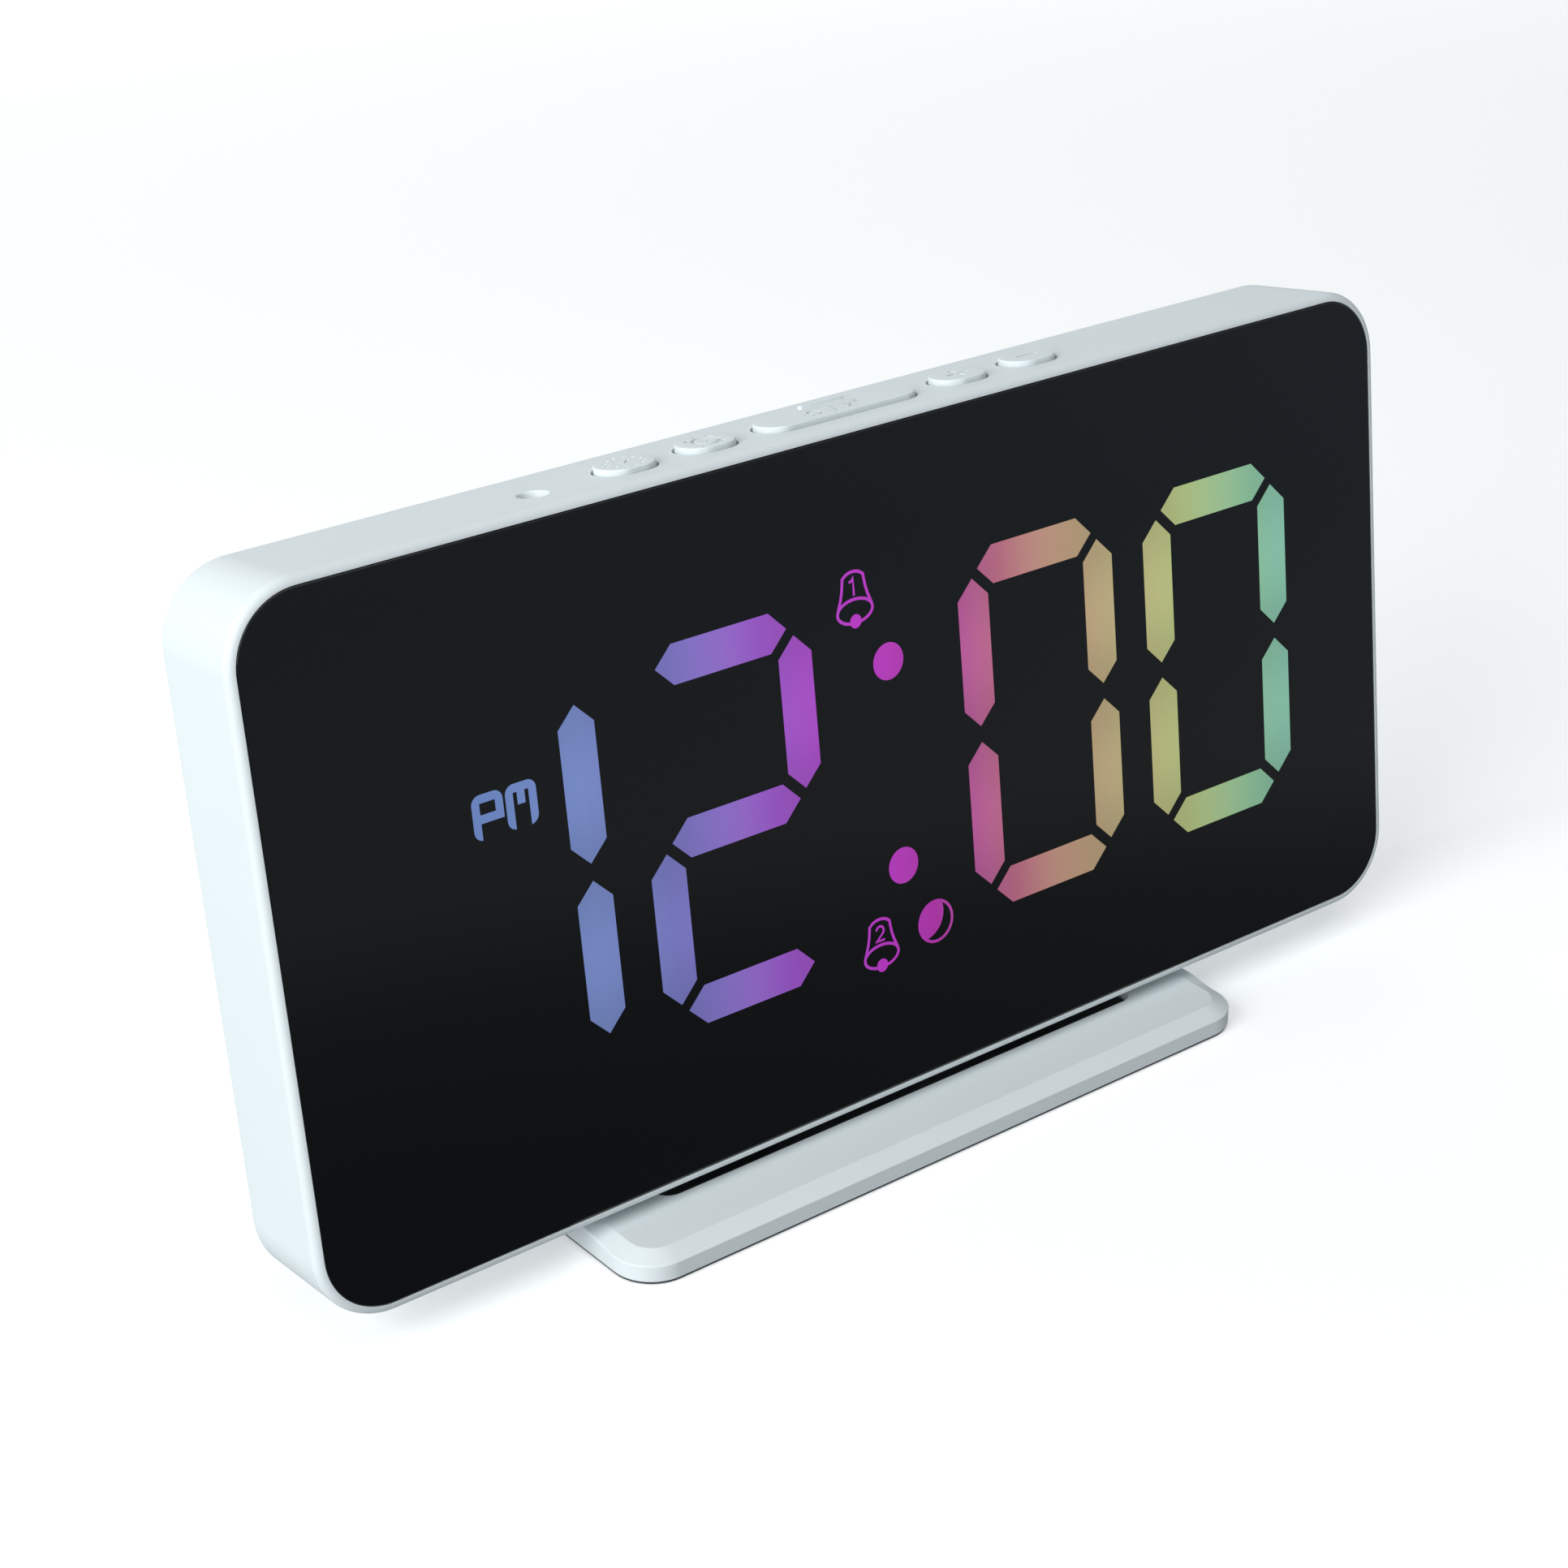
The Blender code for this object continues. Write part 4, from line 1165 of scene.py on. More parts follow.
    def _lug_slots(self, box: Box) -> Form:
        """Draw the two slots in the underside that the neck's lugs come up through.

        Args:
            box: the housing's box.

        Returns:
            The cutter of both.
        """
        under = box.low.z
        slots = [
            flared(Panel(*self.lug_slot, (place, self.lug_slot_y), 4), under + 3.0, under, Way.UP, 0.2)
            for place in self.lug_places
        ]
        return moved(gathered(slots), self._slant(-1))

    def _top_holes(self, bench: Bench, box: Box, keys: "TopKeys") -> Form:
        """Draw the holes for the keys and the light sensor, square to the drafted top.

        Args:
            bench: the case's bench.
            box: the housing's box.
            keys: the keys that come up through it.

        Returns:
            The cutter of them all.
        """
        top = box.high.z
        floor = top - self.hole_depth
        holes = [
            flared(keys.pill(key, -self.key_gap), floor, top, Way.UP, self.key_hole_round)
            for key in keys.measured(bench.space)
        ]
        lens = bench.space.box("sensor_lens").centre
        radius, soft = self.lens_hole
        holes.append(flared(disc(radius, (lens.x, lens.y)), floor, top, Way.UP, soft))
        return moved(gathered(holes), self._slant(1))

    def _slant(self, side: int) -> Matrix:
        """Tip level forms to follow the draft of the top, or with -1 of the underside."""
        slant = Matrix.Identity(4)
        slant[2][1] = -side * self.draft / self.draft_run
        return slant


@dataclass
class SmokedPanel:
    """The dark window that covers the whole front.

    Attributes:
        corner: radius of its corners.
        edge_round: radius of its edges.
    """

    corner: float = 8.8
    edge_round: float = 0.18

    def build(self, bench: Bench) -> None:
        """Make the window."""
        box = bench.space.box("front_window")
        panel = Panel(box.size.x, box.size.z, self.corner, steps=18)
        form = block(panel, box.low.y, box.high.y, Way.BACK, self.edge_round)
        piece = stand("smoked_window", form)
        bench.finish(piece, Slot.WINDOW, replaces=["front_window"])


class Segment(Enum):
    """The seven bars of a digit, as (side, level, upright) in half widths and bar pitches."""

    TOP = (0.0, 1.0, False)
    MIDDLE = (0.0, 0.0, False)
    BOTTOM = (0.0, -1.0, False)
    UPPER_LEFT = (-1.0, 0.5, True)
    LOWER_LEFT = (-1.0, -0.5, True)
    UPPER_RIGHT = (1.0, 0.5, True)
    LOWER_RIGHT = (1.0, -0.5, True)


LIT_BARS: dict[str, tuple[Segment, ...]] = {
    "0": tuple(bar for bar in Segment if bar is not Segment.MIDDLE),
    "1": (Segment.UPPER_RIGHT, Segment.LOWER_RIGHT),
    "2": (Segment.TOP, Segment.UPPER_RIGHT, Segment.MIDDLE, Segment.LOWER_LEFT, Segment.BOTTOM),
}


BELL_MOUTH = (2.94, 1.62)
BELL_FLANK = ((-2.88, 0.35), (-2.6, 1.1), (-2.25, 2.0), (-1.98, 3.0), (-1.82, 4.0), (-1.74, 4.62))
BELL_CROWN = arc((0.0, 4.05), (1.92, 1.3), 154, 26, 10)
CLAPPER_DROP = 1.38
CLAPPER_ROUND = (0.95, 0.95)
NUMERALS: dict[str, list[Flat]] = {
    "1": [(-0.68, 4.02), (-0.2, 4.12), (0.02, 4.5), (0.02, 2.1)],
    "2": arc((0.0, 3.66), (0.64, 0.66), 168, -40, 10) + [(-0.68, 2.24), (0.72, 2.24)],
}


@dataclass
class LitDisplay:
    """What the window shows: the time, the colon, the two alarm bells, the moon and the half day.

    Attributes:
        time: the four digits.
        digit_middles: where each digit stands.
        half_width: from a digit's middle to its uprights' middles.
        pitch: from one level bar to the next.
        half_thickness: of a bar.
        half_upright: from an upright bar's middle to its tip.
        half_level: from a level bar's middle to its tip.
        colon_rise: from the window's middle to each dot of the colon.
        colon_round: radius of a dot.
        skin: front and back of the lit shapes, measured back from the window's face.
        line: width of the signs' lines.
        numeral_line: width of the bells' numerals.
        bells: each bell's numeral and the middle of its mouth.
        moon: the moon's middle.
        moon_round: its radius.
        moon_shade: place, from the moon's middle, and radius of the disc that shades it.
        letter_top: top of the two letters.
        letter_foot: their foot.
        letter_width: their width.
        letter_line: width of their lines.
        letter_round: radius of their outer corners.
        letter_places: left side of each letter.
        bowl_foot: lower side of the first letter's bowl.
        tongue_foot: foot of the second letter's middle stroke.
    """

    time: str = "1200"
    digit_middles: tuple[float, ...] = (-61.0, -26.7, 26.7, 61.0)
    half_width: float = 11.45
    pitch: float = 23.2
    half_thickness: float = 2.7
    half_upright: float = 10.45
    half_level: float = 10.4
    colon_rise: float = 14.5
    colon_round: float = 2.57
    skin: Flat = (-0.02, 0.04)
    line: float = 0.42
    numeral_line: float = 0.34
    bells: tuple[tuple[str, Flat], ...] = (("1", (-4.9, 22.65)), ("2", (-4.92, -26.2)))
    moon: Flat = (4.9, -24.25)
    moon_round: float = 3.14
    moon_shade: tuple[Flat, float] = ((-2.15, 1.4), 3.62)
    letter_top: float = 14.65
    letter_foot: float = 8.8
    letter_width: float = 4.5
    letter_line: float = 1.12
    letter_round: float = 1.25
    letter_places: Flat = (-65.62, -60.76)
    bowl_foot: float = 10.92
    tongue_foot: float = 11.86

    def build(self, bench: Bench) -> None:
        """Make every lit shape."""
        for number, (digit, middle) in enumerate(zip(self.time, self.digit_middles), start=1):
            bars = [self._bar(middle, *bar.value) for bar in LIT_BARS[digit]]
            self._dress(bench, stand(f"digit_{number}_lit_bars", gathered(bars)))
        dots = [
            prism(arc((0.0, z), (self.colon_round,) * 2, 0, 350, 35), *self.skin, Way.BACK)
            for z in (-self.colon_rise, self.colon_rise)
        ]
        self._dress(bench, stand("colon_dots", gathered(dots)))
        for numeral, place in self.bells:
            self._bell(bench, numeral, place)
        self._moon(bench)
        self._first_letter(bench)
        self._second_letter(bench)

    def _dress(self, bench: Bench, piece: Piece) -> None:
        """Give a lit shape its glowing film, and a bar chart at its brightest where it has none."""
        if "bar" not in piece.data.uv_layers:
            chart = piece.data.uv_layers.new(name="bar")
            for corner in chart.data:
                corner.uv = (0.5, 0.5)
        bench.finish(piece, Slot.DIFFUSER, material=bench.palette.make("lit_film", LIT))

    def _bar(self, middle: float, side: float, level: float, upright: bool) -> Form:
        """One bar: a long hexagon, charted along its length so that its middle can glow.

        Args:
            middle: where its digit stands.
            side: which column it is on.
            level: which row it is on, in pitches.
            upright: whether it stands.

        Returns:
            The bar.
        """
        half = self.half_upright if upright else self.half_level
        shoulder = half - self.half_thickness
        thick = self.half_thickness
        hexagon = [(half, 0), (shoulder, thick), (-shoulder, thick)]
        hexagon += [(-x, -z) for x, z in hexagon]
        centre = (middle + side * self.half_width, level * self.pitch)
        ends = [(z, x) if upright else (x, z) for x, z in hexagon]
        outline = [(centre[0] + x, centre[1] + z) for x, z in ends]
        form = prism(outline, *self.skin, Way.BACK)
        chart = form.loops.layers.uv.new("bar")
        for face in form.faces:
            for corner in face.loops:
                off = corner.vert.co.z - centre[1] if upright else corner.vert.co.x - centre[0]
                corner[chart].uv = (0.5 + off / half / 2, 0.5)
        return form

    def _bell(self, bench: Bench, numeral: str, place: Flat) -> None:
        """An outlined bell with an open mouth, a clapper and the alarm's number.

        Args:
            bench: the case's bench.
            numeral: the alarm's number.
            place: the middle of the bell's mouth.
        """
        x, z = place
        mouth = arc(place, BELL_MOUTH, 0, 350, 35)
        sides = [*BELL_FLANK, *BELL_CROWN, *((-a, b) for a, b in reversed(BELL_FLANK))]
        piece = stand(f"bell_{numeral}_sign", stroke(mouth, self.line, *self.skin, Way.BACK, True))
        for line, width in ((sides, self.line), (NUMERALS[numeral], self.numeral_line)):
            points = [(x + a, z + b) for a, b in line]
            bench.join(piece, stroke(points, width, *self.skin, Way.BACK))
        clapper = arc((x, z - CLAPPER_DROP), CLAPPER_ROUND, 0, 345, 23)
        bench.join(piece, prism(clapper, *self.skin, Way.BACK))
        self._dress(bench, piece)

    def _moon(self, bench: Bench) -> None:
        """Make the moon: a disc with a window on its right, out to where a second disc shades it.

        Args:
            bench: the case's bench.
        """
        centre = Vector(self.moon)
        shift, reach = self.moon_shade
        other = centre + Vector(shift)
        inner = self.moon_round - self.line
        gap = (other - centre).length
        tilt = math.degrees(math.atan2(centre.y - other.y, centre.x - other.x))
        half = math.acos((inner**2 + gap**2 - reach**2) / (2 * inner * gap))
        wide = math.degrees(math.pi - half)
        side = math.degrees(math.acos((reach**2 + gap**2 - inner**2) / (2 * reach * gap)))
        outline = arc(self.moon, (inner, inner), tilt - wide, tilt + wide, 24)
        outline += arc(tuple(other), (reach, reach), tilt + side, tilt - side, 16)[1:-1]
        round_disc = arc(self.moon, (self.moon_round,) * 2, 0, 352, 44)
        piece = stand("moon_sign", prism(round_disc, *self.skin, Way.BACK))
        bench.cut(piece, prism(outline, self.skin[0] - 1.0, self.skin[1] + 1.0, Way.BACK))
        self._dress(bench, piece)

    def _letter(self, name: str, left: float, rest: Sequence[Flat]) -> Piece:
        """Stand up a letter whose upper corners and left foot are round.

        Args:
            name: the piece's name.
            left: its left side.
            rest: its outline from the upper right corner down and back to the left foot.

        Returns:
            The letter.
        """
        soft, right = self.letter_round, left + self.letter_width
        high, low = self.letter_top - soft, self.letter_foot + soft
        outline = arc((left + soft, high), (soft, soft), 180, 90, 8)
        outline += arc((right - soft, high), (soft, soft), 90, 0, 8)
        outline += rest
        outline += arc((left + soft, low), (soft, soft), 264, 180, 8)
        return stand(name, prism(outline, *self.skin, Way.BACK))

    def _first_letter(self, bench: Bench) -> None:
        """Make the P, with the window of its bowl."""
        left, line, bowl = self.letter_places[0], self.letter_line, self.bowl_foot
        right, inner = left + self.letter_width, left + line
        rest = [(right, bowl), (inner, bowl), (inner, self.letter_foot)]
        piece = self._letter("half_day_first_letter", left, rest)
        levels = ((inner, bowl + line), (right - line, bowl + line))
        window = [*levels, *((x, self.letter_top - line) for x, _ in reversed(levels))]
        bench.cut(piece, prism(window, -1.0, 1.0, Way.BACK))
        self._dress(bench, piece)

    def _second_letter(self, bench: Bench) -> None:
        """Make the M, with the two gaps beside its middle stroke."""
        left, line, low = self.letter_places[1], self.letter_line, self.letter_foot
        soft, wide, under = self.letter_round, self.letter_width, self.letter_top - line
        right = left + wide
        middle = (left + right) / 2
        inside = [(wide / 2 - line, low), (wide / 2 - line, under)]
        inside += [(line / 2, under), (line / 2, self.tongue_foot)]
        rest = arc((right - soft, low + soft), (soft, soft), 0, -84, 8)
        rest += [(middle + x, z) for x, z in inside]
        rest += [(middle - x, z) for x, z in reversed(inside)]
        self._dress(bench, self._letter("half_day_second_letter", left, rest))


@dataclass(frozen=True)
class Key:
    """One measured key: its name, middle, length and how high its cap stands."""

    name: str
    centre: Flat
    length: float
    top: float


@dataclass
class TopKeys:
    """The five keys in the top, each with its sign sunk into the cap.

    Attributes:
        names: the keys from left to right.
        width: of a cap.
        flange_lip: how much longer and wider the hidden flange is than the cap, in all.
        flange_round: radius of its corners.
        flange_levels: its foot and top from where the cap starts.
        cap_foot: level where the cap starts.
        rim_round: radius of the cap's upper edge.
        sign_depth: how deep the signs are.
        sign_reach: how far above the cap their cutters reach.
        stem_round: radius of the stem that presses the switch.
        line: width of the signs' lines.
        mark: half length of the plus and the minus.
        rib: length and width of the snooze key's rib.
        rib_offset: its middle from the key's.
    """

    names: tuple[str, ...] = ("clock_set", "alarm_set", "snooze_dimmer", "plus", "minus")
    width: float = 6.4
    flange_lip: Flat = (2.0, 0.6)
    flange_round: float = 3.4
    flange_levels: Flat = (-0.95, 0.05)
    cap_foot: float = 45.0
    rim_round: float = 0.15
    sign_depth: float = 0.32
    sign_reach: float = 0.5
    stem_round: float = 1.2
    line: float = 0.4
    mark: float = 1.75
    rib: Flat = (7.2, 0.8)
    rib_offset: Flat = (-0.35, 2.55)

    def measured(self, space: Space) -> list[Key]:
        """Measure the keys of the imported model.

        Args:
            space: the case's space.

        Returns:
            The keys from left to right.
        """
        boxes = [space.box(f"{name}_button") for name in self.names]
        top = min(box.high.z for box in boxes)
        return [
            Key(name, (box.centre.x, box.centre.y), box.size.x - self.flange_lip[0], top)
            for name, box in zip(self.names, boxes)
        ]

    def pill(self, key: Key, inset: float = 0.0) -> Panel:
        """A key's outline, drawn larger for a negative inset."""
        width = self.width - 2 * inset
        return Panel(key.length - 2 * inset, width, width / 2, key.centre, 12)

    def build(self, bench: Bench) -> None:
        """Make the keys."""
        for key in self.measured(bench.space):
            foot = bench.space.box(f"{key.name}_button").low.z
            piece = stand(f"{key.name}_cap", self._cap(key))
            length, width = key.length + self.flange_lip[0], self.width + self.flange_lip[1]
            flange = Panel(length, width, self.flange_round, key.centre, 8)
            low, high = (self.cap_foot + level for level in self.flange_levels)
            bench.join(piece, block(flange, low, high, Way.UP, 0.1))
            stem = disc(self.stem_round, key.centre, 6)
            bench.join(piece, block(stem, foot, self.cap_foot, Way.UP, 0.2))
            if key.name == "snooze_dimmer":
                bench.join(piece, self._rib(bench.space, key))
            bench.cut(piece, *self._sign(bench, key))
            bench.finish(piece, Slot.WHITE, f"{key.name}_key", [f"{key.name}_button"])

    def _cap(self, key: Key) -> Form:
        """A cap with a softly rounded upper edge."""
        section = corners((0.0, self.cap_foot), (0.0, key.top, self.rim_round), (1.2, key.top))
        return swept(self.pill(key), eased(section), Way.UP)

    def _rib(self, space: Space, key: Key) -> Form:
        """The rib that a finger finds the snooze key by."""
        top = space.box(f"{key.name}_button").high.z
        centre = (key.centre[0] + self.rib_offset[0], key.centre[1] + self.rib_offset[1])
        panel = Panel(*self.rib, self.rib[1] / 2, centre, 6)
        return block(panel, key.top - 0.3, top, Way.UP, 0.12)

    def _sign(self, bench: Bench, key: Key) -> list[Form]:
        """The cutters of a key's sign.

        Args:
            bench: the case's bench.
            key: the key.

        Returns:
            The cutters, placed over the cap.
        """
        signs = {
            "clock_set": self._clock_sign,
            "alarm_set": self._alarm_sign,
            "snooze_dimmer": self._snooze_sign,
            "plus": self._plus_sign,
            "minus": self._minus_sign,
        }
        place = Matrix.Translation((key.centre[0], key.centre[1], key.top))
        return [moved(form, place) for form in signs[key.name](bench)]

    def _groove(
        self, points: Sequence[Flat], width: float | None = None, looped: bool = False
    ) -> Form:
        """Draw a sunk line, about the cap's middle and top.

        Args:
            points: the line's middle.
            width: how wide it is, if it isn't as wide as most.
            looped: whether the last point joins the first.

        Returns:
            The cutter.
        """
        levels = (-self.sign_depth, self.sign_reach)
        return stroke(points, width or self.line, *levels, Way.UP, looped)

    def _clock_sign(self, bench: Bench) -> list[Form]:
        """A dial of twelve dimples and two hands."""
        bowl = [(0.12, -self.sign_depth), (0.0, 0.0), (0.0, 0.4)]
        dimple = swept(disc(0.26, steps=4), bowl, Way.UP)
        dial = Repeat(Pattern.RING, 12, 2.48).of(dimple, bench.palette.take(Slot.WHITE))
        return [dial, self._groove([(-1.15, 0.62), (-0.1, -0.28), (1.0, 0.72)])]

    def _alarm_sign(self, bench: Bench) -> list[Form]:
        """An alarm clock's face with hands, two bells, two feet and a knob."""
        face = self._groove(arc((0.0, -0.15), (1.72, 1.72), 0, 345, 23), looped=True)
        hands = self._groove([(0.0, 0.85), (0.0, -0.2), (0.62, -0.2)])
        marks = []
        for side in (-1, 1):
            marks.append(self._groove([(side * 1.35, 1.92), (side * 2.2, 1.15)]))
            marks.append(self._groove([(side * 1.35, -1.68), (side * 1.85, -2.2)]))
        marks.append(self._groove([(-0.3, 2.2), (0.3, 2.2)]))
        return [face, hands, gathered(marks)]

    def _snooze_sign(self, bench: Bench) -> list[Form]:
        """A sun for the dimmer and two letters for sleep, with a slanted line between them."""
        ray = block(Panel(0.42, 0.22, 0.02, steps=1), -self.sign_depth, self.sign_reach, Way.UP)
        rays = Repeat(Pattern.RING, 8, 1.62).of(ray, bench.palette.take(Slot.WHITE))
        sun = [rays, self._groove(arc((0, 0), (0.92, 0.92), 0, 340, 17), 0.3, True)]
        sun = [moved(form, Matrix.Translation((-3.7, -0.55, 0.0))) for form in sun]
        lines = [self._groove([(-1.25, -2.1), (-0.05, 1.1)], 0.28)]
        for x, y, size in ((1.9, -0.9, 1.5), (3.55, 0.2, 1.05)):
            half = size / 2
            zigzag = [(x + i * half, y + j * half) for j in (1, -1) for i in (-1, 1)]
            lines.append(self._groove(zigzag, 0.26))
        return [*sun, gathered(lines)]

    def _plus_sign(self, bench: Bench) -> list[Form]:
        """A plus."""
        half = 0.28
        arm = [(self.mark, -half), (self.mark, half), (half, half)]
        outline: list[Flat] = []
        for _ in range(4):
            outline += arm
            arm = [(-y, x) for x, y in arm]
        return [prism(outline, -self.sign_depth, self.sign_reach, Way.UP)]

    def _minus_sign(self, bench: Bench) -> list[Form]:
        """A minus."""
        return [self._groove([(-self.mark, 0.0), (self.mark, 0.0)], 0.55)]


@dataclass
class SensorLens:
    """The pale lens down the small hole in the top.

    Attributes:
        flange: radius of its flange.
        step: thickness of the flange, and how far it stands out.
    """

    flange: float = 2.6
    step: float = 0.8

    def build(self, bench: Bench) -> None:
        """Make the lens."""
        box = bench.space.box("sensor_lens")
        top, foot = box.high.z, box.low.z
        section = corners(
            (self.flange, foot),
            (0.0, foot, 0.1),
            (0.0, foot + self.step, 0.1),
            (self.step, foot + self.step),
            (self.step, top, 0.3),
            (2 * self.step, top - 0.04),
            (self.flange, top - 0.1),
        )
        panel = disc(self.flange, (box.centre.x, box.centre.y))
        piece = stand("light_sensor_lens", swept(panel, eased(section), Way.UP))
        bench.finish(piece, Slot.DIFFUSER, replaces=["sensor_lens"])


def screw(head: float, shank: float, length: float, taper: float) -> Form:
    """A countersunk screw with a cross recess, its head's flat at the origin, facing +Z.

    Args:
        head: radius of the head.
        shank: radius of the shank.
        length: overall length.
        taper: height of the head's cone.

    Returns:
        The screw.
    """
    section = corners(
        (head, 0.0),
        (0.0, 0.0, 0.12),
        (0.0, -0.24),
        (head - shank, -0.24 - taper),
        (head - shank, 0.5 - length),
        (head - shank * 0.5, -length),
        (head, -length),
    )
    piece = stand("screw_blank", swept(disc(head, steps=6), eased(section, steps=3), Way.UP))
    for width, height in ((0.26 * head, 1.15 * head), (1.15 * head, 0.26 * head)):
        outline = Panel(width, height, 0.01, steps=1).outline()
        floor = [Vector((x * 0.55, y * 0.55, -0.62)) for x, y in outline]
        mouth = [Vector((x, y, 0.05)) for x, y in outline]
        combine(piece, lofted([floor, mouth]), "DIFFERENCE")
    made = bmesh.new()
    made.from_mesh(piece.data)
    discard(piece)
    return made


def numbered(name: str) -> list[str]:
    """The names of four like nodes."""
    return [f"{name}_{index}" for index in range(1, 5)]


@dataclass
class RearCover:
    """The back of the clock: cover, screws, battery door, jack, mode switch and sounder grille.

    Attributes:
        corner: radius of the cover's corners.
        screw_places: plus and minus these distances.
        hatch: radius of the opening that the door sits in.
        door: radius of the battery door.
        tab_reach: from the door's middle to the ends of its tabs.
        coin_slot: length and width of the slot that turns it.
        arrow_round: radius of the line that shows how it turns.
        jack_hole: radius of the jack's hole.
        jack_shell: rear face of the jack's square shell.
        jack_nose: radius and front of its round nose.
        jack_bore: radius and floor of its bore.
        jack_pin: radius, foot and tip of its centre pin.
        mark_depth: how deep the plain marks are.
        grille_hole: radius of the sounder's holes.
        grille_pitch: from one hole to the next.
    """

    corner: float = 8.0
    screw_places: Flat = (88.2, 40.6)
    hatch: float = 12.3
    door: float = 12.0
    tab_reach: float = 13.2
    coin_slot: Flat = (11.0, 1.6)
    arrow_round: float = 14.9
    jack_hole: float = 4.0
    jack_shell: float = 14.5
    jack_nose: Flat = (3.7, 13.7)
    jack_bore: Flat = (1.9, 8.7)
    jack_pin: Three = (0.65, 8.0, 16.0)
    mark_depth: float = 0.25
    grille_hole: float = 0.75
    grille_pitch: float = 2.6

    def build(self, bench: Bench) -> None:
        """Make the cover and what is in it."""
        cover = bench.space.box("rear_cover")
        door = bench.space.box("battery_door").centre
        jack = bench.space.box("power_jack").centre
        knob = bench.space.box("mode_switch_knob")
        buzzer = bench.space.box("buzzer").centre
        panel = Panel(cover.size.x, cover.size.z, self.corner, steps=14)
        piece = stand("white_rear_cover", block(panel, cover.low.y, cover.high.y, Way.BACK, 0.4))
        back, front = cover.high.y, cover.low.y - 1.0
        hatch = flared(disc(self.hatch, (door.x, door.z), 16), front, back, Way.BACK, 0.25)
        notch = block(Panel(2 * self.tab_reach + 0.8, 5.0, 0.6), front, back + 1.0, Way.BACK)
        turn = Matrix.Translation((door.x, 0, door.z)) @ Matrix.Rotation(math.radians(45), 4, "Y")
        bench.cut(piece, hatch, moved(notch, turn))
        travel = (knob.centre.x + 1.0, knob.centre.z)
        slot = Panel(knob.size.x + 2.6, knob.size.z + 0.6, 0.25, travel, 4)
        bench.cut(piece, flared(slot, front, back, Way.BACK, 0.15))
        bench.cut(piece, flared(disc(self.jack_hole, (jack.x, jack.z)), front, back, Way.BACK, 0.3))
        bench.cut(piece, *self._holes(bench, (buzzer.x, buzzer.z), front, back))
        bench.cut(piece, *self._marks(door, jack, back))
        bench.finish(piece, Slot.WHITE, replaces=["rear_cover"])
        self._screws(bench)
        self._battery_door(bench)
        self._jack(bench)
        self._knob(bench)

    def _holes(self, bench: Bench, at: Flat, front: float, back: float) -> list[Form]:
        """Draw the sounder's grille, a ring of holes round one more, and the screws' holes.

        Args:
            bench: the case's bench.
            at: the grille's middle.
            front: a level in front of the cover.
            back: the cover's rear face.

        Returns:
            The cutter of the grille and that of the countersunk holes.
        """
        white = bench.palette.take(Slot.WHITE)
        first, middle = (
            flared(disc(self.grille_hole, steps=5), front - back, 0.0, Way.UP, 0.12) for _ in range(2)
        )
        grille = gathered([Repeat(Pattern.RING, 6, self.grille_pitch).of(first, white), middle])
        section = [(0.0, front - back), (0.0, -1.45), (-1.25, 0.0), (-1.4, 0.5)]
        sink = swept(disc(1.2, steps=8), section, Way.UP)
        sinks = Repeat(Pattern.GRID, 4, *self.screw_places).of(sink, white)
        return [
            moved(form, Matrix.Translation((x, back, z)) @ FACING_BACK)
            for form, (x, z) in ((grille, at), (sinks, (0.0, 0.0)))
        ]

    def _marks(self, door: Vector, jack: Vector, back: float) -> list[Form]:
        """Draw the plain marks that say how the door turns and which way the jack is wired.

        Args:
            door: the battery door's middle.
            jack: the jack's middle.
            back: the cover's rear face.

        Returns:
            Their cutters.
        """
        depth = (back - self.mark_depth, back + 0.5)
        middle, radius = (door.x, door.z), self.arrow_round
        forms = []
        for angle in (90.0, 135.0):
            tip = arc(middle, (radius - 1.0,) * 2, angle, angle + 1, 1)[0]
            base = arc(middle, (radius + 0.7,) * 2, angle - 3.2, angle + 3.2, 1)
            forms.append(prism([tip, *base], *depth, Way.BACK))
        forms.append(stroke(arc(middle, (radius,) * 2, 100, 125, 12), 0.45, *depth, Way.BACK))
        x, z = jack.x, jack.z + 8.0
        forms.append(stroke(arc((x, z), (1.1, 1.1), 50, 310, 16), 0.35, *depth, Way.BACK))
        forms.append(prism(arc((x, z), (0.4, 0.4), 0, 330, 11), *depth, Way.BACK))
        for start, end in ((0.75, 3.2), (-3.2, -1.5)):
            forms.append(stroke([(x + start, z), (x + end, z)], 0.35, *depth, Way.BACK))
        return forms

    def _screws(self, bench: Bench) -> None:
        """Make the four screws."""
        steel = bench.palette.take(Slot.STEEL)
        box = bench.space.box("rear_screw_1")
        unit = screw(box.size.x / 2, 0.9, box.size.y, 0.72)
        screws = Repeat(Pattern.GRID, 4, *self.screw_places).of(unit, steel)
        place = Matrix.Translation((0, box.high.y, 0)) @ FACING_BACK
        piece = stand("rear_cover_screws", moved(screws, place))
        bench.finish(piece, Slot.STEEL, replaces=numbered("rear_screw"))

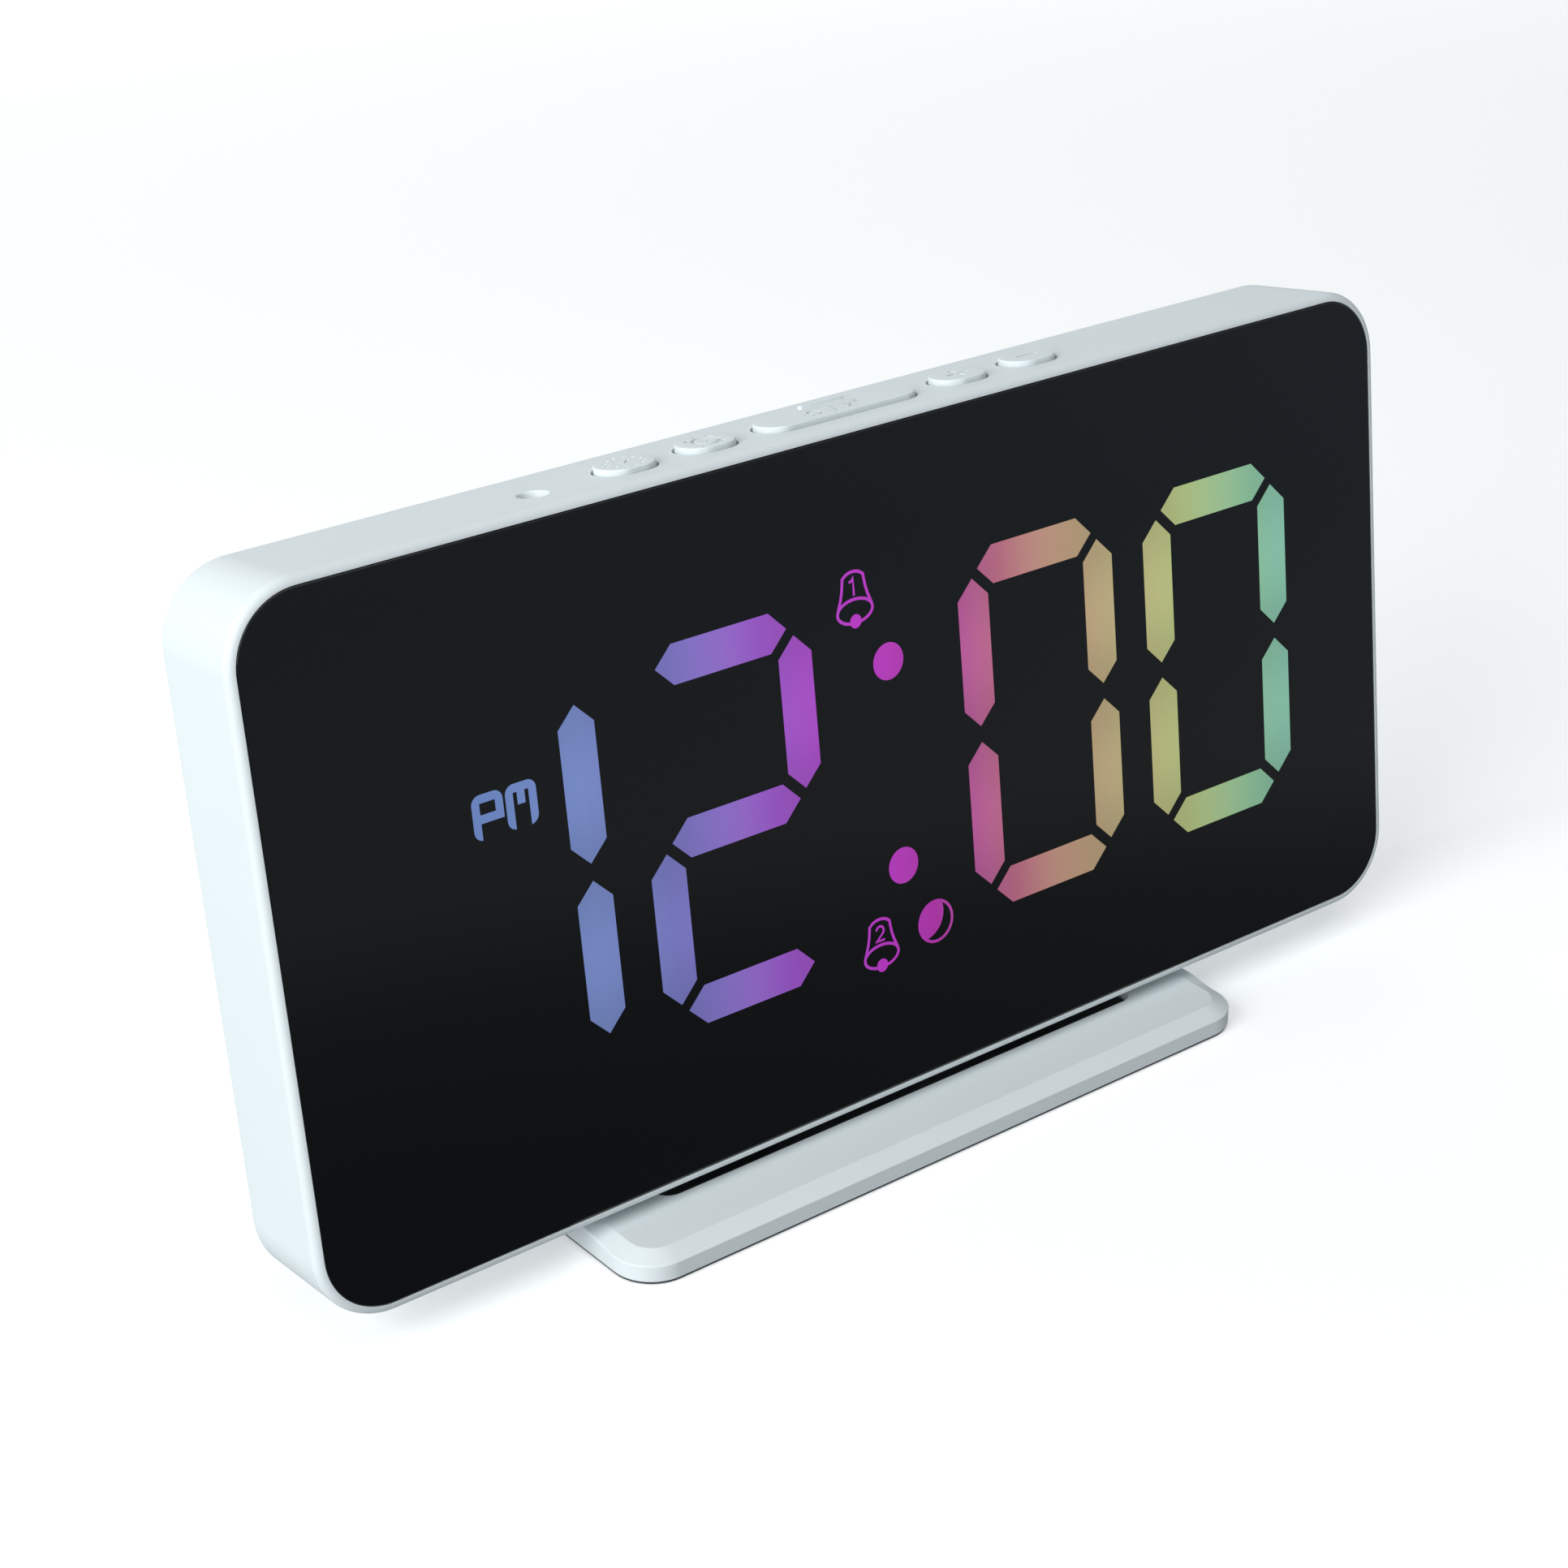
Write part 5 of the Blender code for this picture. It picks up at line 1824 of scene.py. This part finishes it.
    def _battery_door(self, bench: Bench) -> None:
        """Make the round door, with its coin slot, pointer and locking tabs."""
        box = bench.space.box("battery_door")
        x, z = box.centre.x, box.centre.z
        inner, back = box.low.y, box.high.y
        section = corners(
            (self.door, inner),
            (0.0, inner, 0.15),
            (0.0, back, 0.3),
            (1.3, back, 0.1),
            (1.5, back - 0.2, 0.1),
            (2.1, back - 0.2, 0.1),
            (2.3, back, 0.1),
            (self.door, back),
        )
        form = swept(disc(self.door, (x, z), 16), eased(section, steps=3), Way.BACK)
        piece = stand("battery_door_disc", form)
        tabs = Panel(2 * self.tab_reach, 3.6, 0.5, (x, z), 3)
        bench.join(piece, block(tabs, inner + 0.01, inner + 0.31, Way.BACK))
        slot = Panel(*self.coin_slot, self.coin_slot[1] / 2, (x, z), 6)
        bench.cut(piece, flared(slot, back - 0.8, back, Way.BACK, 0.15))
        pointer = [(x, z + 9.2), (x - 0.9, z + 7.6), (x + 0.9, z + 7.6)]
        bench.cut(piece, prism(pointer, back - self.mark_depth, back + 0.5, Way.BACK))
        bench.finish(piece, Slot.WHITE, "battery_lid", ["battery_door"])

    def _jack(self, bench: Bench) -> None:
        """Make the power jack, with its round nose, bore and centre pin."""
        box = bench.space.box("power_jack")
        at, back = (box.centre.x, box.centre.z), box.high.y
        shell = Panel(box.size.x, box.size.z, 0.5, at, 4)
        piece = stand("power_inlet", block(shell, box.low.y, self.jack_shell, Way.BACK, 0.2))
        radius, front = self.jack_nose
        bench.join(piece, block(disc(radius, at), front, back, Way.BACK, 0.25))
        radius, floor = self.jack_bore
        bench.cut(piece, flared(disc(radius, at), floor, back, Way.BACK, 0.2))
        radius, foot, tip = self.jack_pin
        bench.join(piece, block(disc(radius, at, 5), foot, tip, Way.BACK, 0.2))
        bench.finish(piece, Slot.BLACK, replaces=["power_jack"])

    def _knob(self, bench: Bench) -> None:
        """Make the mode switch's knob, with grip ribs across it."""
        box = bench.space.box("mode_switch_knob")
        black = bench.palette.take(Slot.BLACK)
        panel = Panel(box.size.x, box.size.z, 0.2, (box.centre.x, box.centre.z), 3)
        piece = stand("mode_slider_knob", block(panel, box.low.y, box.high.y, Way.BACK, 0.15))
        groove = block(Panel(0.16, box.size.z + 1.0, 0.02, steps=1), -0.18, 0.3, Way.UP)
        grooves = Repeat(Pattern.ROW, 4, 0.6).of(groove, black)
        place = Matrix.Translation((box.centre.x, box.high.y, box.centre.z)) @ FACING_BACK
        bench.cut(piece, moved(grooves, place))
        bench.finish(piece, Slot.BLACK, "mode_slider", ["mode_switch_knob"])


# ---- foot


@dataclass
class FootShell:
    """The white top of the foot, with a broad front chamfer that fades out along its sides.

    Attributes:
        corner: radius of its corners seen from above.
        chamfer: width and height of the front chamfer.
        rear_drop: how far the wall stops below the deck behind the fade.
        fade: from where to where, front to back, the chamfer fades.
        edge_round: radius of its edges.
        recess_inset: from its side to the base plate's recess.
        recess_top: level of that recess.
        well: width, depth and radius of the neck's well.
        well_y: its middle.
        saddle: middle, width and depth of the trough under the case.
        pockets: middle and depth, front to back, of the two pockets for ballast.
        pocket_width: how wide they are.
        pocket_top: level of their ceilings.
        pilots: places of the screws' pilot holes, plus and minus.
    """

    corner: float = 6.17
    chamfer: Flat = (2.54, 1.15)
    rear_drop: float = 0.35
    fade: Flat = (-15.8, -9.4)
    edge_round: float = 0.22
    recess_inset: float = 0.9
    recess_top: float = 1.35
    well: Three = (86.0, 15.6, 2.6)
    well_y: float = -3.03
    saddle: Three = (1.75, 10.5, 1.0)
    pockets: tuple[Flat, ...] = ((-15.7, 6.8), (14.2, 10.0))
    pocket_width: float = 93.0
    pocket_top: float = 2.81
    pilots: Flat = (50.4, 17.6)

    def build(self, bench: Bench) -> None:
        """Make the shell."""
        box = bench.space.box("foot_shell")
        piece = stand("white_foot_shell", self._blank(box))
        inner = Panel(
            box.size.x - 2 * self.recess_inset,
            box.size.y - 2 * self.recess_inset,
            self.corner - self.recess_inset,
        )
        bench.cut(piece, block(inner, -2.0, self.recess_top, Way.UP))
        panels = [Panel(self.pocket_width, deep, 0.4, (0.0, y), 3) for y, deep in self.pockets]
        bench.cut(piece, gathered(block(panel, -1.9, self.pocket_top, Way.UP) for panel in panels))
        bench.cut(piece, self._trough(box.high.z))
        well = Panel(self.well[0], self.well[1], self.well[2], (0.0, self.well_y), 8)
        bench.cut(piece, flared(well, -1.5, box.high.z, Way.UP, 0.05))
        pilot = block(disc(1.05, steps=4), -0.6, 3.4, Way.UP)
        white = bench.palette.take(Slot.WHITE)
        bench.cut(piece, Repeat(Pattern.GRID, 4, *self.pilots).of(pilot, white))
        bench.finish(piece, Slot.WHITE, "foot", ["foot_shell"])

    def _drop(self, y: float) -> float:
        """How far the wall stops below the deck at this place, front to back."""
        share = min(1.0, max(0.0, (y - self.fade[0]) / (self.fade[1] - self.fade[0])))
        soft = share * share * (3.0 - 2.0 * share)
        return self.chamfer[1] + (self.rear_drop - self.chamfer[1]) * soft

    def _blank(self, box: Box) -> Form:
        """The outer form: a wall, the chamfer whose height changes from front to back, a deck.

        Args:
            box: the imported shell's box.

        Returns:
            The closed form.
        """
        steps, (start, end) = 12, self.fade
        stops = tuple(start + (end - start) * step / steps for step in range(steps + 1))
        panel = Panel(box.size.x, box.size.y, self.corner, stops=stops)
        rings: list[list[Vector]] = []
        for index, (_, y) in enumerate(panel.outline()):
            wall_top = box.high.z - self._drop(y)
            section = corners(
                (0.6, box.low.z),
                (0.0, box.low.z, 0.15),
                (0.0, wall_top, self.edge_round),
                (self.chamfer[0], box.high.z, 0.3),
                (self.chamfer[0] + 0.6, box.high.z),
            )
            drawn = eased(section, steps=4)
            rings = rings or [[] for _ in drawn]
            for ring, (inset, level) in zip(rings, drawn):
                ring.append(Vector((*panel.outline(inset)[index], level)))
        return lofted(rings)

    def _trough(self, deck: float) -> Form:
        """Draw the shallow trough that the case swings in.

        Args:
            deck: level of the foot's upper face.

        Returns:
            The cutter.
        """
        middle, width, depth = self.saddle
        front, rear, rim = middle - width / 2, middle + width / 2, deck + 0.01
        section = corners(
            (front - 2.0, rim),
            (front, rim, 0.4),
            (front, deck - depth, 0.55),
            (rear, deck - depth, 0.55),
            (rear, rim, 0.4),
            (rear + 2.0, rim),
            (rear + 2.0, deck + 2.0),
            (front - 2.0, deck + 2.0),
        )
        return prism(eased(section), -80.0, 80.0, Way.ACROSS)


@dataclass
class Underside:
    """Base plate, rubber pads, screws and the neck that stands up from the foot.

    Attributes:
        corner: radius of the plate's corners.
        shadow_skirt: how far the plate's skirt stands out, and its height; its dark rim shows as a
            thin line under the white shell, painted contact shadow where the foot meets the floor, on
            a plate that is dark in its own right.
        pad_places: places of the pads, plus and minus.
        screw_places: places of the plate's screws, plus and minus.
        neck_places: places of the neck's lugs and screws, to the left and right.
        pad_recess: radius of a pad's recess.
        lug_half: half of a lug's width.
        lug_foot: level that the lugs start from, inside the flange.
    """

    corner: float = 6.02
    shadow_skirt: Flat = (0.95, 0.28)
    pad_places: Flat = (40.0, 15.0)
    screw_places: Flat = (50.4, 17.6)
    neck_places: float = 26.0
    pad_recess: float = 4.2
    lug_half: float = 5.0
    lug_foot: float = 2.0

    def build(self, bench: Bench) -> None:
        """Make the pieces."""
        dark = bench.palette.take(Slot.BASE)
        box = bench.space.box("base_plate")
        panel = Panel(box.size.x, box.size.y, self.corner)
        out, foot = self.shadow_skirt[0], box.low.z
        shadow_skirt_top = foot + self.shadow_skirt[1]
        # The skirt's dark rim shows as a thin line under the white shell: painted contact shadow where
        # the foot meets the floor, on a plate that is dark in its own right.
        section = corners(
            (2.0, foot),
            (0.0, foot, 0.05),
            (0.0, shadow_skirt_top, 0.05),
            (out, shadow_skirt_top),
            (out, box.high.z, 0.15),
            (2.0, box.high.z),
        )
        piece = stand("dark_base_plate", swept(panel, eased(section, steps=3), Way.UP))
        recess = flared(disc(self.pad_recess, steps=10), 0.43, 0.0, Way.UP, 0.12)
        neck_y = bench.space.box("left_neck_screw").centre.y
        for repeat, unit, y in (
            (Repeat(Pattern.GRID, 4, *self.pad_places), recess, 0),
            (Repeat(Pattern.GRID, 4, *self.screw_places), self._sink(), 0),
            (Repeat(Pattern.ROW, 2, self.neck_places), self._sink(), neck_y),
        ):
            bench.cut(piece, moved(repeat.of(unit, dark), Matrix.Translation((0, y, foot))))
        bench.finish(piece, Slot.BASE, "foot", ["base_plate"])
        self._pads(bench)
        self._screws(bench, neck_y)
        self._neck(bench)

    @staticmethod
    def _sink() -> Form:
        """The cutter of one screw's countersink, about the plate's lower face."""
        section = [(0.0, 2.0), (0.0, 0.88), (-1.2, 0.11), (-1.2, -0.5)]
        return swept(disc(1.2, steps=8), section, Way.UP)

    def _pads(self, bench: Bench) -> None:
        """Make the four grip pads, ringed with fine grooves underneath."""
        box = bench.space.box("foot_pad_1")
        radius = box.size.x / 2
        section = corners((radius, box.high.z), (0.0, box.high.z), (0.0, 0.0, 0.15))
        for inset in (1.0, 2.0, 3.0):
            section += corners((inset - 0.14, 0.0), (inset, 0.1), (inset + 0.14, 0.0))
        section.append(Corner(radius, 0.0))
        unit = swept(disc(radius, steps=10), eased(section), Way.UP)
        pads = Repeat(Pattern.GRID, 4, *self.pad_places).of(unit, bench.palette.take(Slot.RUBBER))
        bench.finish(stand("rubber_pads", pads), Slot.RUBBER, "foot", numbered("foot_pad"))

    def _screws(self, bench: Bench, neck_y: float) -> None:
        """Make the six screws of the underside.

        Args:
            bench: the foot's bench.
            neck_y: where the neck's two screws stand, front to back.
        """
        steel = bench.palette.take(Slot.STEEL)
        corner = bench.space.box("base_screw_1")
        unit = screw(corner.size.x / 2, 0.85, corner.size.z, 0.57)
        four = Repeat(Pattern.GRID, 4, *self.screw_places).of(unit, steel)
        four = moved(four, Matrix.Translation((0, 0, corner.low.z)) @ FACING_DOWN)
        bench.finish(stand("base_plate_screws", four), Slot.STEEL, "foot", numbered("base_screw"))
        long = bench.space.box("left_neck_screw")
        unit = screw(long.size.x / 2, 0.9, long.size.z, 0.54)
        pair = Repeat(Pattern.ROW, 2, self.neck_places).of(unit, steel)
        pair = moved(pair, Matrix.Translation((0, neck_y, long.low.z)) @ FACING_DOWN)
        names = ["left_neck_screw", "right_neck_screw"]
        bench.finish(stand("neck_screws", pair), Slot.STEEL, "foot", names)

    def _neck(self, bench: Bench) -> None:
        """Make the black neck: a flange in the foot's well, and two lugs with round heads."""
        box = bench.space.box("tilt_neck")
        pin = Vector(next(j for j in frame["joints"] if j["name"] == "tilt")["pos_m"]) / MM
        flange = Panel(box.size.x, box.size.y, 2.25, (0.0, box.centre.y), 6)
        piece = stand("hinge_neck", block(flange, box.low.z, 2.7, Way.UP, 0.25))
        reach = box.high.z - pin.z
        for place in (-self.neck_places, self.neck_places):
            rise = pin.z + reach - self.lug_foot
            lug = Panel(2 * reach, rise, reach, (pin.y, self.lug_foot + rise / 2), 10)
            square = Panel(2 * reach, rise / 2, 0.0, (pin.y, self.lug_foot + rise / 4), 1)
            ends = (place - self.lug_half, place + self.lug_half, Way.ACROSS)
            bench.join(piece, block(lug, *ends, 0.2), block(square, *ends))
        bench.cut(piece, block(disc(1.32, (pin.y, pin.z), 8), -45.0, 45.0, Way.ACROSS))
        pilot = block(disc(1.05, steps=4), -1.0, 6.0, Way.UP)
        pilots = Repeat(Pattern.ROW, 2, self.neck_places).of(pilot, bench.palette.take(Slot.BLACK))
        bench.cut(piece, moved(pilots, Matrix.Translation((0, pin.y, 0))))
        bench.finish(piece, Slot.BLACK, "foot", ["tilt_neck"])


# ---- inner pieces


INNER_NODES: tuple[tuple[Slot, tuple[str, ...]], ...] = (
    (Slot.MASK, ("segment_mask",)),
    (Slot.DIFFUSER, ("diffuser_film", "light_sensor")),
    (Slot.BOARD, ("display_board", "control_board", "button_board")),
    (Slot.BLACK, tuple(f"{name}_switch" for name in TopKeys().names)),
    (Slot.BLACK, ("battery_holder", "buzzer")),
    (Slot.STEEL, ("coin_cell", "mode_switch_body", "left_hinge_pin", "right_hinge_pin")),
    (Slot.STEEL, ("left_friction_washer", "right_friction_washer")),
    (Slot.BRASS, ("left_hinge_nut", "right_hinge_nut")),
    (Slot.STEEL, ("front_ballast", "rear_ballast")),
)


@dataclass
class InnerPieces:
    """Everything inside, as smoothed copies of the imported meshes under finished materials.

    Attributes:
        edge: how far its hard edges are broken, in millimetres.
    """

    edge: float = 0.08

    def build(self, case: Bench, foot: Bench) -> None:
        """Copy, smooth and dress each inner node.

        Args:
            case: the case's bench.
            foot: the foot's bench.
        """
        for node, slot in ((node, slot) for slot, nodes in INNER_NODES for node in nodes):
            body = frame["nodes"][node]["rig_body"]
            bench = foot if body == "foot" else case
            form = bmesh.new()
            form.from_mesh(frame["nodes"][node].data)
            bmesh.ops.remove_doubles(form, verts=form.verts, dist=1e-7)
            moved(form, bench.space.from_world)
            piece = stand(f"inner_{node}", form)
            bevel = piece.modifiers.new("broken_edges", "BEVEL")
            bevel.width = self.edge
            bevel.segments = 2
            bevel.limit_method = "ANGLE"
            bevel.angle_limit = CREASE
            settle(piece)
            bench.finish(piece, slot, body, [node])


# ---- studio


@dataclass(frozen=True)
class LightPanel:
    """A soft light: its name, place and size in metres, power in watts, colour and sheen."""

    name: str
    place: Three
    size: Flat
    power: float
    tint: Colour = (1.0, 1.0, 1.0)
    glossy: bool = True


PANELS = (
    LightPanel("key_panel", (-1.2, -0.24, 0.58), (1.0, 1.0), 19.0, (0.96, 0.995, 1.0)),
    LightPanel("top_panel", (0.0, -0.35, 1.3), (1.3, 1.0), 5.4, (0.97, 0.99, 1.0)),
    LightPanel("back_panel", (0.45, 1.3, 0.22), (1.4, 0.7), 7.5, glossy=False),
)
SOFT_LIGHT = (
    (0.0, (0.46, 0.49, 0.51)),
    (0.48, (0.46, 0.49, 0.51)),
    (0.52, (0.20, 0.215, 0.22)),
    (1.0, (0.20, 0.215, 0.22)),
)
GLOSS_LIGHT = (
    (0.0, (0.05, 0.05, 0.06)),
    (0.33, (0.09, 0.095, 0.11)),
    (0.355, (0.13, 0.14, 0.155)),
    (0.372, (0.24, 0.26, 0.275)),
    (0.42, (0.225, 0.265, 0.31)),
    (0.7, (0.5, 0.53, 0.56)),
    (1.0, (0.9, 0.92, 0.94)),
)


@dataclass
class Studio:
    """A plain pale floor, soft light mostly from the left, and the camera.

    Attributes:
        eye: the camera's place from the window's middle, in millimetres of the world's axes.
        pitch: how far it is tipped up from straight down, in degrees.
        heading: how far it is turned, in degrees.
        lens: its focal length, in millimetres.
        sensor: its sensor's width, in millimetres.
        aim: what the light panels face, in metres.
        floor_half: half of the floor's side, in metres.
        floor_glow: the floor's own light near the clock and far from it.
        glow_reach: where that light starts and stops to grow, in millimetres.
    """

    eye: Three = (-244.88, -284.26, 181.30)
    pitch: float = 63.832
    heading: float = -38.463
    lens: float = 71.745
    sensor: float = 36.0
    aim: Three = (0.0, 0.0, 0.05)
    floor_half: float = 6.0
    floor_glow: Flat = (0.31, 0.82)
    glow_reach: Flat = (350.0, 2200.0)

    def build(self, case: Space) -> None:
        """Set up the floor, lights, surroundings and camera.

        Args:
            case: the case's space, which says where the window is.
        """
        self._floor()
        self._surroundings()
        for panel in PANELS:
            self._light(panel)
        window = case.to_world.translation
        camera = bpy.data.objects.new("camera", bpy.data.cameras.new("camera"))
        camera.data.lens = self.lens
        camera.data.sensor_width = self.sensor
        camera.data.clip_start = 0.01
        camera.location = window + Vector(self.eye) * MM
        camera.rotation_euler = (math.radians(self.pitch), 0.0, math.radians(self.heading))
        bpy.context.scene.collection.objects.link(camera)
        bpy.context.scene.camera = camera
        bpy.context.scene.view_settings.view_transform = "Standard"

    def _floor(self) -> None:
        """Lay the pale floor. What the clock gets from below comes from the surroundings."""
        form = bmesh.new()
        bmesh.ops.create_grid(form, x_segments=1, y_segments=1, size=self.floor_half)
        floor = stand("studio_floor", form)
        recipe = Recipe("studio_floor")
        tone = recipe.cloud(400.0)
        reach = recipe.node("ShaderNodeVectorMath", {"operation": "LENGTH"}, {"Vector": recipe.place})
        start, stop = self.glow_reach
        span = {"Value": recipe.out(reach, "Value"), "From Min": start, "From Max": stop}
        ease = {"interpolation_type": "SMOOTHSTEP"}
        away = recipe.out(recipe.node("ShaderNodeMapRange", ease, span))
        near, far = ((glow,) * 3 for glow in self.floor_glow)
        material = recipe.surface(
            Base_Color=recipe.between(tone, (0.86, 0.865, 0.87), (0.88, 0.885, 0.89)),
            Roughness=0.9,
            Emission_Color=recipe.between(away, near, far),
            Emission_Strength=1.0,
        )
        floor.data.materials.append(material)
        floor.visible_glossy = False
        floor.visible_diffuse = False

    def _surroundings(self) -> None:
        """White round the floor, soft light from above and below, and a dim horizon for the gloss."""
        world = bpy.data.worlds.new("studio")
        bpy.context.scene.world = world
        world.use_nodes = True
        plan = Plan(world.node_tree)
        rays = plan.node("ShaderNodeLightPath")
        where = plan.out(plan.node("ShaderNodeTexCoord"), "Generated")
        height = plan.out(plan.node("ShaderNodeSeparateXYZ", {}, {"Vector": where}), "Z")
        share = height * 0.5 + 0.5
        lights = []
        for stops in (SOFT_LIGHT, GLOSS_LIGHT):
            ramp = plan.node("ShaderNodeValToRGB", {"stops": stops}, {"Fac": share})
            background = plan.node("ShaderNodeBackground", {}, {"Color": plan.out(ramp, "Color")})
            lights.append(plan.out(background))
        white = plan.node("ShaderNodeBackground", {}, {"Color": (1.0, 1.0, 1.0, 1.0)})
        sockets = {"Fac": plan.out(rays, "Is Glossy Ray")}
        sockets |= {"Shader": lights[0], "Shader_001": lights[1]}
        lit = plan.node("ShaderNodeMixShader", {}, sockets)
        sockets = {"Fac": plan.out(rays, "Is Camera Ray")}
        sockets |= {"Shader": plan.out(lit), "Shader_001": plan.out(white)}
        whole = plan.node("ShaderNodeMixShader", {}, sockets)
        plan.node("ShaderNodeOutputWorld", {}, {"Surface": plan.out(whole)})

    def _light(self, panel: LightPanel) -> None:
        """Hang a soft light panel that faces the clock."""
        light = bpy.data.lights.new(panel.name, "AREA")
        light.shape = "RECTANGLE"
        light.size, light.size_y = panel.size
        light.energy = panel.power
        light.color = panel.tint
        lamp = bpy.data.objects.new(panel.name, light)
        lamp.location = panel.place
        lamp.visible_camera = False
        lamp.visible_glossy = panel.glossy
        towards = Vector(self.aim) - Vector(panel.place)
        lamp.rotation_euler = towards.to_track_quat("-Z", "Y").to_euler()
        bpy.context.scene.collection.objects.link(lamp)


# ---- whole clock


def main() -> None:
    """Build the whole clock and its studio, and report each piece."""
    logging.basicConfig(level=logging.INFO, format="%(name)s: %(message)s")
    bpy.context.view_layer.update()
    palette = Palette()
    case = Bench(case_space(), palette)
    foot = Bench(Space(Matrix.Scale(MM, 4)), palette)
    keys = TopKeys()
    FrontHousing().build(case, keys)
    SmokedPanel().build(case)
    LitDisplay().build(case)
    keys.build(case)
    SensorLens().build(case)
    RearCover().build(case)
    FootShell().build(foot)
    Underside().build(foot)
    InnerPieces().build(case, foot)
    Studio().build(case.space)


if __name__ == "__main__":
    main()
